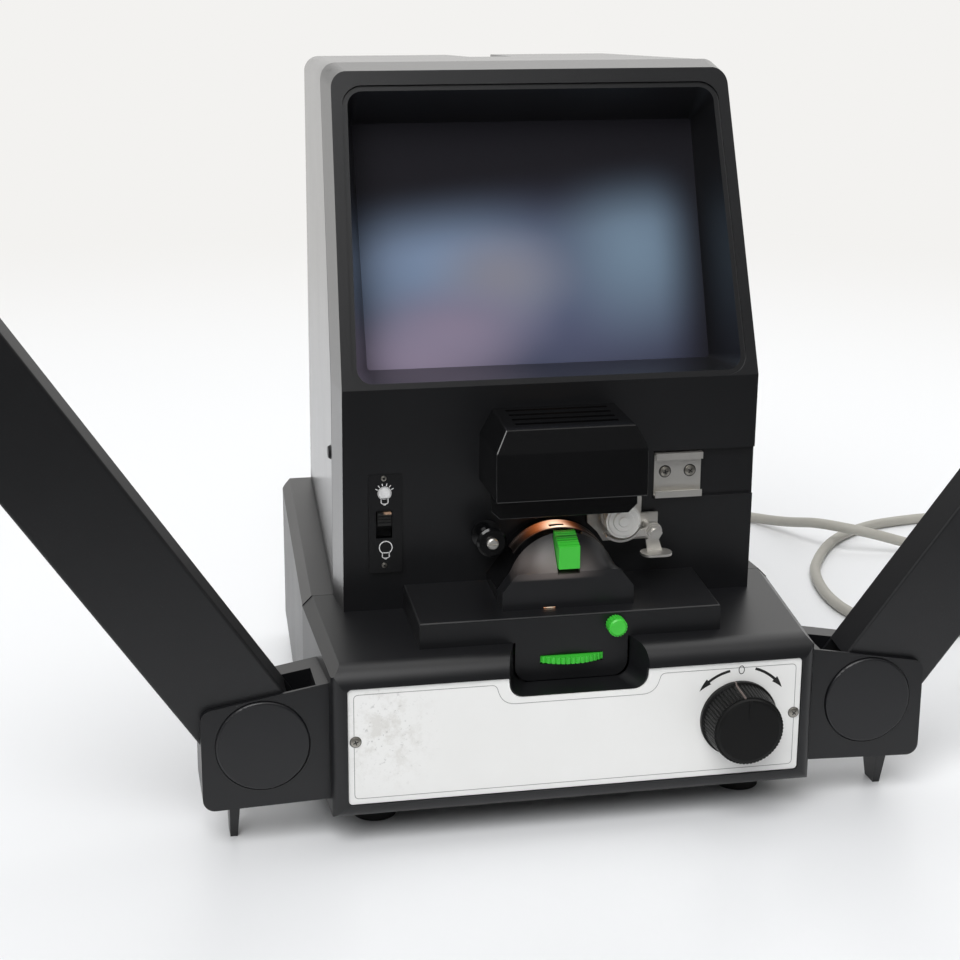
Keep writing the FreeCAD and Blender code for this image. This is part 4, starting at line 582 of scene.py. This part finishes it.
# %% Rubber and sheath
rubber = Finish("black_rubber", {"Specular IOR Level": 0.3})
grit = rubber.noise(700.0, 3.0)
rubber.set("Base Color", rubber.mix(grit, grey(0.008), grey(0.022)))
rubber.set("Roughness", 0.65 + grit * 0.2)
rubber.bump(grit, 0.2, 0.0002)
sheath = Finish("grey_sheath")
grime = sheath.noise(35.0, 4.0, 0.6)
sheath.set("Base Color", sheath.mix(grime, (0.33, 0.32, 0.285, 1.0), (0.43, 0.415, 0.37, 1.0)))
sheath.set("Roughness", 0.42 + grime * 0.15)
sheath.bump(sheath.noise(900.0, 2.0), 0.06, 0.0001)
socket = Finish("socket_white", {"Specular IOR Level": 0.4})
socket.set("Base Color", socket.mix(socket.noise(60.0), (0.55, 0.52, 0.46, 1.0), (0.66, 0.63, 0.57, 1.0)))
socket.set("Roughness", 0.5 + socket.noise(80.0) * 0.2)
dress(rubber, "rubber_feet", "drive_belts", "left_arm_belt", "right_arm_belt")
dress(sheath, "mains_flex", "mains_plug", "cord_bushing")
dress(socket, "lamp_socket")

# %% [markdown]
# ## Lamp housing
# The housing over the gate is a smooth hood with a nearly level top, four long vents, cut-off
# corners and a thin skirt that hangs down to shade the film. It could be carved vertex by vertex,
# but it is clearer as the overlap of two prisms: its side view and its front view. The same pair,
# drawn 2 mm smaller, hollows it. Half a millimetre of bevel catches the light along its edges. It
# stands for the plainer CAD housing, in the same place.

# %% Lamp housing
def solid(name, outline, axis, start, end):
    """A closed prism: the outline is drawn in the plane across the axis, in millimetres."""
    count = len(outline)
    vertices = []
    for depth in (start, end):
        for a, b in outline:
            vertices.append(at(depth, a, b) if axis == "x" else at(a, depth, b))
    faces = [tuple(range(count))[::-1], tuple(range(count, 2 * count))]
    faces += [(i, (i + 1) % count, count + (i + 1) % count, count + i) for i in range(count)]
    mesh = bpy.data.meshes.new(name)
    mesh.from_pydata([tuple(v) for v in vertices], [], faces)
    shape = bmesh.new()
    shape.from_mesh(mesh)
    bmesh.ops.recalc_face_normals(shape, faces=shape.faces)
    shape.to_mesh(mesh)
    shape.free()
    made = bpy.data.objects.new(name, mesh)
    bpy.context.scene.collection.objects.link(made)
    return made


def settle(piece):
    """Turn the modifiers of a piece into its mesh."""
    bpy.context.view_layer.update()
    mesh = bpy.data.meshes.new_from_object(piece.evaluated_get(bpy.context.evaluated_depsgraph_get()))
    piece.modifiers.clear()
    piece.data = mesh
    mesh.name = piece.name


def carve(piece, operation, tool):
    cutter = piece.modifiers.new("carve", "BOOLEAN")
    cutter.operation = operation
    cutter.solver = "EXACT"
    cutter.object = tool
    settle(piece)
    bpy.data.objects.remove(tool)


def soften(piece, width, segments):
    edge = piece.modifiers.new("soften", "BEVEL")
    edge.width = width / 1000.0
    edge.segments = segments
    edge.limit_method = "ANGLE"
    edge.angle_limit = math.radians(20)
    settle(piece)


HOUSING_HALF, HOUSING_LOW, HOUSING_TOP, HOUSING_BACK = 31.5, 137.7, 166.8, 56.0


def housing_form(name, inset):
    """The overlap of the housing's side view and front view, drawn smaller by the inset."""
    low, half, top = HOUSING_LOW + inset, HOUSING_HALF - inset, HOUSING_TOP - inset
    form = solid(name, [
        (16.6 + inset, low), (17.6 + inset, 157.5), (21.2 + inset, top), (HOUSING_BACK, top + 1.8),
        (HOUSING_BACK, low)], "x", -40, 40)
    front = solid("housing_front", [
        (-half, low - 1), (-half, 158.0), (-26.9 + inset, top), (-21.0 + inset, 178), (21.0 - inset, 178),
        (26.9 - inset, top), (half, 158.0), (half, low - 1)], "y", 0, 80)
    carve(form, "INTERSECT", front)
    return form


WALL, EDGE = 2.0, 0.5
housing = housing_form("lamp_hood", 0.0)
soften(housing, EDGE, 2)
carve(housing, "DIFFERENCE", housing_form("hollow", WALL))
VENTS, VENT_FIRST, VENT_STEP, VENT_WIDE, VENT_HALF = 4, 27.4, 6.2, 2.3, 21.5
for i in range(VENTS):
    y = VENT_FIRST + VENT_STEP * i
    slit = [(y, 160), (y, 180), (y + VENT_WIDE, 180), (y + VENT_WIDE, 160)]
    carve(housing, "DIFFERENCE", solid("vent", slit, "x", -VENT_HALF, VENT_HALF))
light_way = solid("light_way", [(34, 130), (34, 145), (52, 145), (52, 130)], "x", -9, 9)
carve(housing, "DIFFERENCE", light_way)
skirt = solid("light_shield", [
    (-31.0, HOUSING_LOW), (-31.0, 130.4), (-27.3, 126.8),
    (27.3, 126.8), (31.0, 130.4), (31.0, HOUSING_LOW)], "y", 30.0, 31.8)
soften(skirt, 0.25, 2)
for piece in (housing, skirt):
    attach(piece, "case")
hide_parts("lamp_housing")
dress(lamp_black, "lamp_hood", "light_shield")
print("housing faces", len(housing.data.polygons))

# %% [markdown]
# ## Printing and small marks
# The border line, the zero, the two arrows and the two bulb signs are printed. Thin flat ribbons a
# twentieth of a millimetre proud of their surface stand for the ink, because they stay crisp at
# any distance. The painted shade in the screws' cross slots and the painted shadow round their heads
# are made the same way, and so is the strip of light that leaks out at the foot of the gate cover.

# %% Ribbons of ink
def ink(name, low, high):
    finish = Finish(name, {"Specular IOR Level": 0.3})
    worn = finish.noise(500.0, 3.0)
    finish.set("Base Color", finish.mix(worn, low, high))
    finish.set("Roughness", 0.5 + worn * 0.2)
    return finish


black_ink = ink("black_ink", grey(0.008), grey(0.02))
grey_ink = ink("grey_ink", grey(0.22), grey(0.34))
white_ink = ink("white_ink", grey(0.55), grey(0.75))
painted_slot_shade = ink("painted_slot_shade", grey(0.012), grey(0.03))
INK_PROUD = 0.05


def piece_from(name, parts, finish):
    """One flat piece of the case from lists of (vertices, faces)."""
    vertices, faces = [], []
    for some, cells in parts:
        faces += [tuple(i + len(vertices) for i in cell) for cell in cells]
        vertices += [tuple(v) for v in some]
    mesh = bpy.data.meshes.new(name)
    mesh.from_pydata(vertices, [], faces)
    mesh.update()
    made = bpy.data.objects.new(name, mesh)
    bpy.context.scene.collection.objects.link(made)
    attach(made, "case")
    dress(finish, name)
    return made


def ribbon(points, width, closed, y=0.0):
    """A flat strip that faces the front; points are (x, z), width one number or a list."""
    count = len(points)
    vertices = []
    for i, (x, z) in enumerate(points):
        before = points[i - 1] if closed or i else points[i]
        after = points[(i + 1) % count] if closed or i < count - 1 else points[i]
        dx, dz = after[0] - before[0], after[1] - before[1]
        length = math.hypot(dx, dz)
        half = (width[i] if hasattr(width, "__len__") else width) / 2
        for way in (1, -1):
            aside = (x - way * dz / length * half, z + way * dx / length * half)
            vertices.append(at(aside[0], y - INK_PROUD, aside[1]))
    steps = count if closed else count - 1
    pairs = [(2 * i, 2 * ((i + 1) % count)) for i in range(steps)]
    return vertices, [(here, here + 1, there + 1, there) for here, there in pairs]


def arc(x, z, radius, first, last, steps, squash=1.0):
    """Points of an arc from one angle to another, in degrees."""
    angles = [math.radians(first + (last - first) * k / steps) for k in range(steps + 1)]
    return [(x + radius * squash * math.cos(a), z + radius * math.sin(a)) for a in angles]


def ring(x, z, radius):
    """Points of a whole circle."""
    return arc(x, z, radius, 0, 345, 23)


def disc(x, z, radius, y):
    rim = ring(x, z, radius)
    return [at(px, y - INK_PROUD, pz) for px, pz in rim], [tuple(range(len(rim)))]


def rounded_outline(corners, radii, steps=6):
    """Points along a closed outline with round corners."""
    points = []
    count = len(corners)
    for i, corner in enumerate(corners):
        here = Vector(corner)
        back = (Vector(corners[i - 1]) - here).normalized()
        ahead = (Vector(corners[(i + 1) % count]) - here).normalized()
        reach = radii[i] / math.tan(back.angle(ahead) / 2)
        start, end = here + back * reach, here + ahead * reach
        for k in range(steps + 1):
            t = k / steps
            points.append(tuple(start * (1 - t) ** 2 + here * 2 * t * (1 - t) + end * t * t))
    return points


border = rounded_outline(
    [(-92.6, 21.7), (92.6, 21.7), (92.6, 66.6), (34.6, 66.6),
     (32.0, 58.0), (-32.0, 58.0), (-34.6, 66.6), (-92.6, 66.6)],
    [2, 2, 2, 2.5, 7.5, 7.5, 2.5, 2])
piece_from("plate_border", [ribbon(border, 0.26, True)], grey_ink)


def arrow(radius, tail, neck, tip):
    """A curved arrow: an even band, then a head that widens at once and tapers to its tip."""
    band = arc(*KNOB, radius, tail, neck, 10)
    head = arc(*KNOB, radius, neck, tip, 6)
    return [ribbon(band, 1.15, False), ribbon(head, [3.0 * (1 - k / 6.2) for k in range(7)], False)]


piece_from("left_arrow", arrow(21.2, 101, 128, 143), black_ink)
piece_from("right_arrow", arrow(22.2, 72, 46, 33), black_ink)
zero = arc(KNOB[0] + 0.9, 65.6, 1.75, 0, 342, 19, 0.66)
piece_from("zero_mark", [ribbon(zero, 0.36, True)], black_ink)

# %% [markdown]
# The lamp switch has two signs: a lit bulb with rays above it and an unlit bulb, in outline, below.

# %% Bulb signs
SWITCH_Y = 52.0
BULB_RADIUS = 2.7
LIT_PLACE = (-71.5, 134.0)
UNLIT_PLACE = (-71.2, 110.4)


def bulb(x, z):
    """The outline of a bulb: most of a circle, and a small cap under it."""
    glass = arc(x, z, BULB_RADIUS, -58, 238, 22)
    cap = [(x - 1.45, z - 2.3), (x - 1.45, z - 4.1), (x - 0.8, z - 4.6),
           (x + 0.8, z - 4.6), (x + 1.45, z - 4.1), (x + 1.45, z - 2.3)]
    base = [(x - 1.45, z - 2.3), (x + 1.45, z - 2.3)]
    tip = [(x - 0.5, z - 4.9), (x + 0.5, z - 4.9)]
    return [ribbon(glass, 0.42, False, SWITCH_Y), ribbon(cap, 0.38, False, SWITCH_Y),
            ribbon(base, 0.38, False, SWITCH_Y), ribbon(tip, 0.6, False, SWITCH_Y)]


lit = bulb(*LIT_PLACE) + [disc(*LIT_PLACE, BULB_RADIUS, SWITCH_Y)]
for turn_by in (28, 52, 76, 104, 128, 152):
    a = math.radians(turn_by)
    beam = [(LIT_PLACE[0] + r * math.cos(a), LIT_PLACE[1] + r * math.sin(a)) for r in (3.2, 4.3)]
    lit.append(ribbon(beam, 0.34, False, SWITCH_Y))
piece_from("lit_bulb_sign", lit, white_ink)
piece_from("unlit_bulb_sign", bulb(*UNLIT_PLACE), white_ink)

# %% [markdown]
# Screws are read by their slots. Each screw gets a cross of painted shade for its slot, and the two
# in the shoe and the two in the front plate also get a painted ring of shadow round the head.

# %% Screw slots
def cross(x, z, reach, y, lean):
    arms = []
    for turn_by in (lean, lean + 90):
        a = math.radians(turn_by)
        dx, dz = reach * math.cos(a), reach * math.sin(a)
        ends = [(x - dx, z - dz), (x + dx, z + dz)]
        arms.append(ribbon(ends, 0.42, False, y))
    return arms


SHOE_SHEET = 0.8
SHOE_FACE = (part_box("accessory_shoe")[1].y + DEPTH_CENTRE) * 1000 - SHOE_SHEET
# Dark crosses are painted shade in the slots; dark rings are painted shadow round the heads.
marks = []
for x, lean in ((49.6, 12), (60.6, 52)):
    marks += cross(x, 136.8, 1.15, SHOE_FACE - 1.1, lean)
    marks.append(ribbon(ring(x, 136.8, 2.55), 0.3, True, SHOE_FACE))
for x, z, lean in ((-92.0, 46.5, 20), (92.4, 44.9, 50)):
    marks += cross(x, z, 1.1, -0.9, lean)
    marks.append(ribbon(ring(x, z, 2.3), 0.25, True))
for z in (140.4, 102.6):
    marks += cross(-71.8, z, 0.6, 51.5, 45)
piece_from("screw_slots", marks, painted_slot_shade)

# %% [markdown]
# The lamp also shines through a slit at the foot of the gate cover. A short glowing ribbon stands
# for it.

# %% Leak of light
leak = Finish("leaking_light", {"Emission Strength": 1.4, "Base Color": (0.9, 0.7, 0.5, 1.0)})
middle = leak.blob(leak.axis("X"), leak.axis("Z"), -7.6, 90.5, 3.4, 1.6)
leak.set("Emission Color", leak.mix(middle, (0.7, 0.2, 0.05, 1.0), (1.0, 0.82, 0.62, 1.0)))
piece_from("gate_leak", [ribbon([(-10.3, 90.55), (-5.4, 90.55)], 0.55, False, 21.9)], leak)

# %% [markdown]
# ## Floor
# The viewer stands on glossy white board. Near the object the board is a real surface, which takes
# its shadow and a faint reflection. Farther off, the camera and mirrors see it as an even pale
# backdrop, whatever the lamps do there. The studio ends a short way in front of the viewer, and
# black plastic shows that: its front faces reflect the dark room, so for reflections the board
# fades out towards the front.

# %% Floor
PALE = (0.896, 0.888, 0.871, 1.0)
NEAR_FLOOR, FAR_FLOOR = 480.0, 1500.0
floor_data = bpy.data.meshes.new("floor")
floor_data.from_pydata([(-6, -6, 0), (6, -6, 0), (6, 9, 0), (-6, 9, 0)], [], [(0, 1, 2, 3)])
floor = bpy.data.objects.new("floor", floor_data)
bpy.context.scene.collection.objects.link(floor)
board = Finish("floor_board", {"IOR": 1.4})
board.set("Roughness", 0.30 + board.noise(3.0) * 0.06)
board.set("Base Color", board.mix(
    board.noise(1.5), (0.84, 0.85, 0.865, 1.0), (0.86, 0.87, 0.885, 1.0)))
ray = {name: board.node("ShaderNodeLightPath", {}, {}, name) for name in (
    "Is Camera Ray", "Is Glossy Ray", "Is Transmission Ray")}
east, north = board.axis("X"), board.axis("Y") - DEPTH_CENTRE * 1000
away = east.math("SQRT", east * east + north * north)
seen = ray["Is Camera Ray"] + ray["Is Glossy Ray"] + ray["Is Transmission Ray"]
backdrop = board.node("ShaderNodeEmission", {}, {"Color": PALE, "Strength": 1.0})
dark_room = board.node("ShaderNodeEmission", {}, {"Color": grey(0.07), "Strength": 1.0})
surface = Signal(board, board.shader.outputs[0])
far_share = seen * board.fade(away, NEAR_FLOOR, FAR_FLOOR)
far = board.node("ShaderNodeMixShader", {}, {0: far_share, 1: surface, 2: backdrop})
front_share = ray["Is Glossy Ray"] * board.fade(north, -150.0, -420.0)
whole = board.node("ShaderNodeMixShader", {}, {0: front_share, 1: far, 2: dark_room})
board.tree.links.new(whole.socket, board.tree.nodes["Material Output"].inputs["Surface"])
floor.data.materials.append(board.material)
print("floor", tuple(floor.dimensions))

# %% [markdown]
# ## World and lamps
# The world is a plain pale studio seen from the camera. For the light it gives, it is bright above
# and behind the viewer and dim in front, where the room is. Two broad soft suns stand for the
# large lamps of a product table: they light everything evenly, however far away it stands.

# %% World
world = bpy.data.worlds.new("studio")
bpy.context.scene.world = world
world.use_nodes = True
sky = Shading(world.node_tree)
direction = sky.node("ShaderNodeTexCoord", {}, {}, "Generated")
depth = sky.node("ShaderNodeSeparateXYZ", {}, {"Vector": direction}, "Y")
rise = sky.node("ShaderNodeSeparateXYZ", {}, {"Vector": direction}, "Z")
studio = 1.0 - sky.fade(depth, 0.15, -0.45) * sky.fade(rise, 0.88, 0.64)
mirrored = sky.node("ShaderNodeLightPath", {}, {}, "Is Glossy Ray")
camera_ray = sky.node("ShaderNodeLightPath", {}, {}, "Is Camera Ray")
through = sky.node("ShaderNodeLightPath", {}, {}, "Is Transmission Ray")
lighting = sky.mix(studio, grey(0.13), sky.mix(mirrored, grey(0.46), PALE))
background = world.node_tree.nodes["Background"]
shown = sky.mix(camera_ray + through, lighting, PALE)
world.node_tree.links.new(shown.socket, background.inputs["Color"])
background.inputs["Strength"].default_value = 1.0
print("world nodes", len(world.node_tree.nodes))

# %% Lamps
def soft_sun(name, source, strength, spread):
    """A lamp at a great distance; source is the direction that its light comes from."""
    data = bpy.data.lights.new(name, "SUN")
    data.energy = strength
    data.angle = math.radians(spread)
    lamp = bpy.data.objects.new(name, data)
    bpy.context.scene.collection.objects.link(lamp)
    lamp.rotation_euler = Vector(source).to_track_quat("Z", "Y").to_euler()
    print(name, "from", source, "strength", strength)


soft_sun("key", (-0.5, -0.9, 1.15), 2.55, 45.0)
soft_sun("top", (0.3, 0.7, 1.3), 0.7, 60.0)
bpy.context.scene.view_settings.view_transform = "Standard"

# %% Check for nodes without a finish
plain = [name for name in NODES if name not in FINISHES and not NODES[name].hide_render]
print("nodes without a finish:", plain)
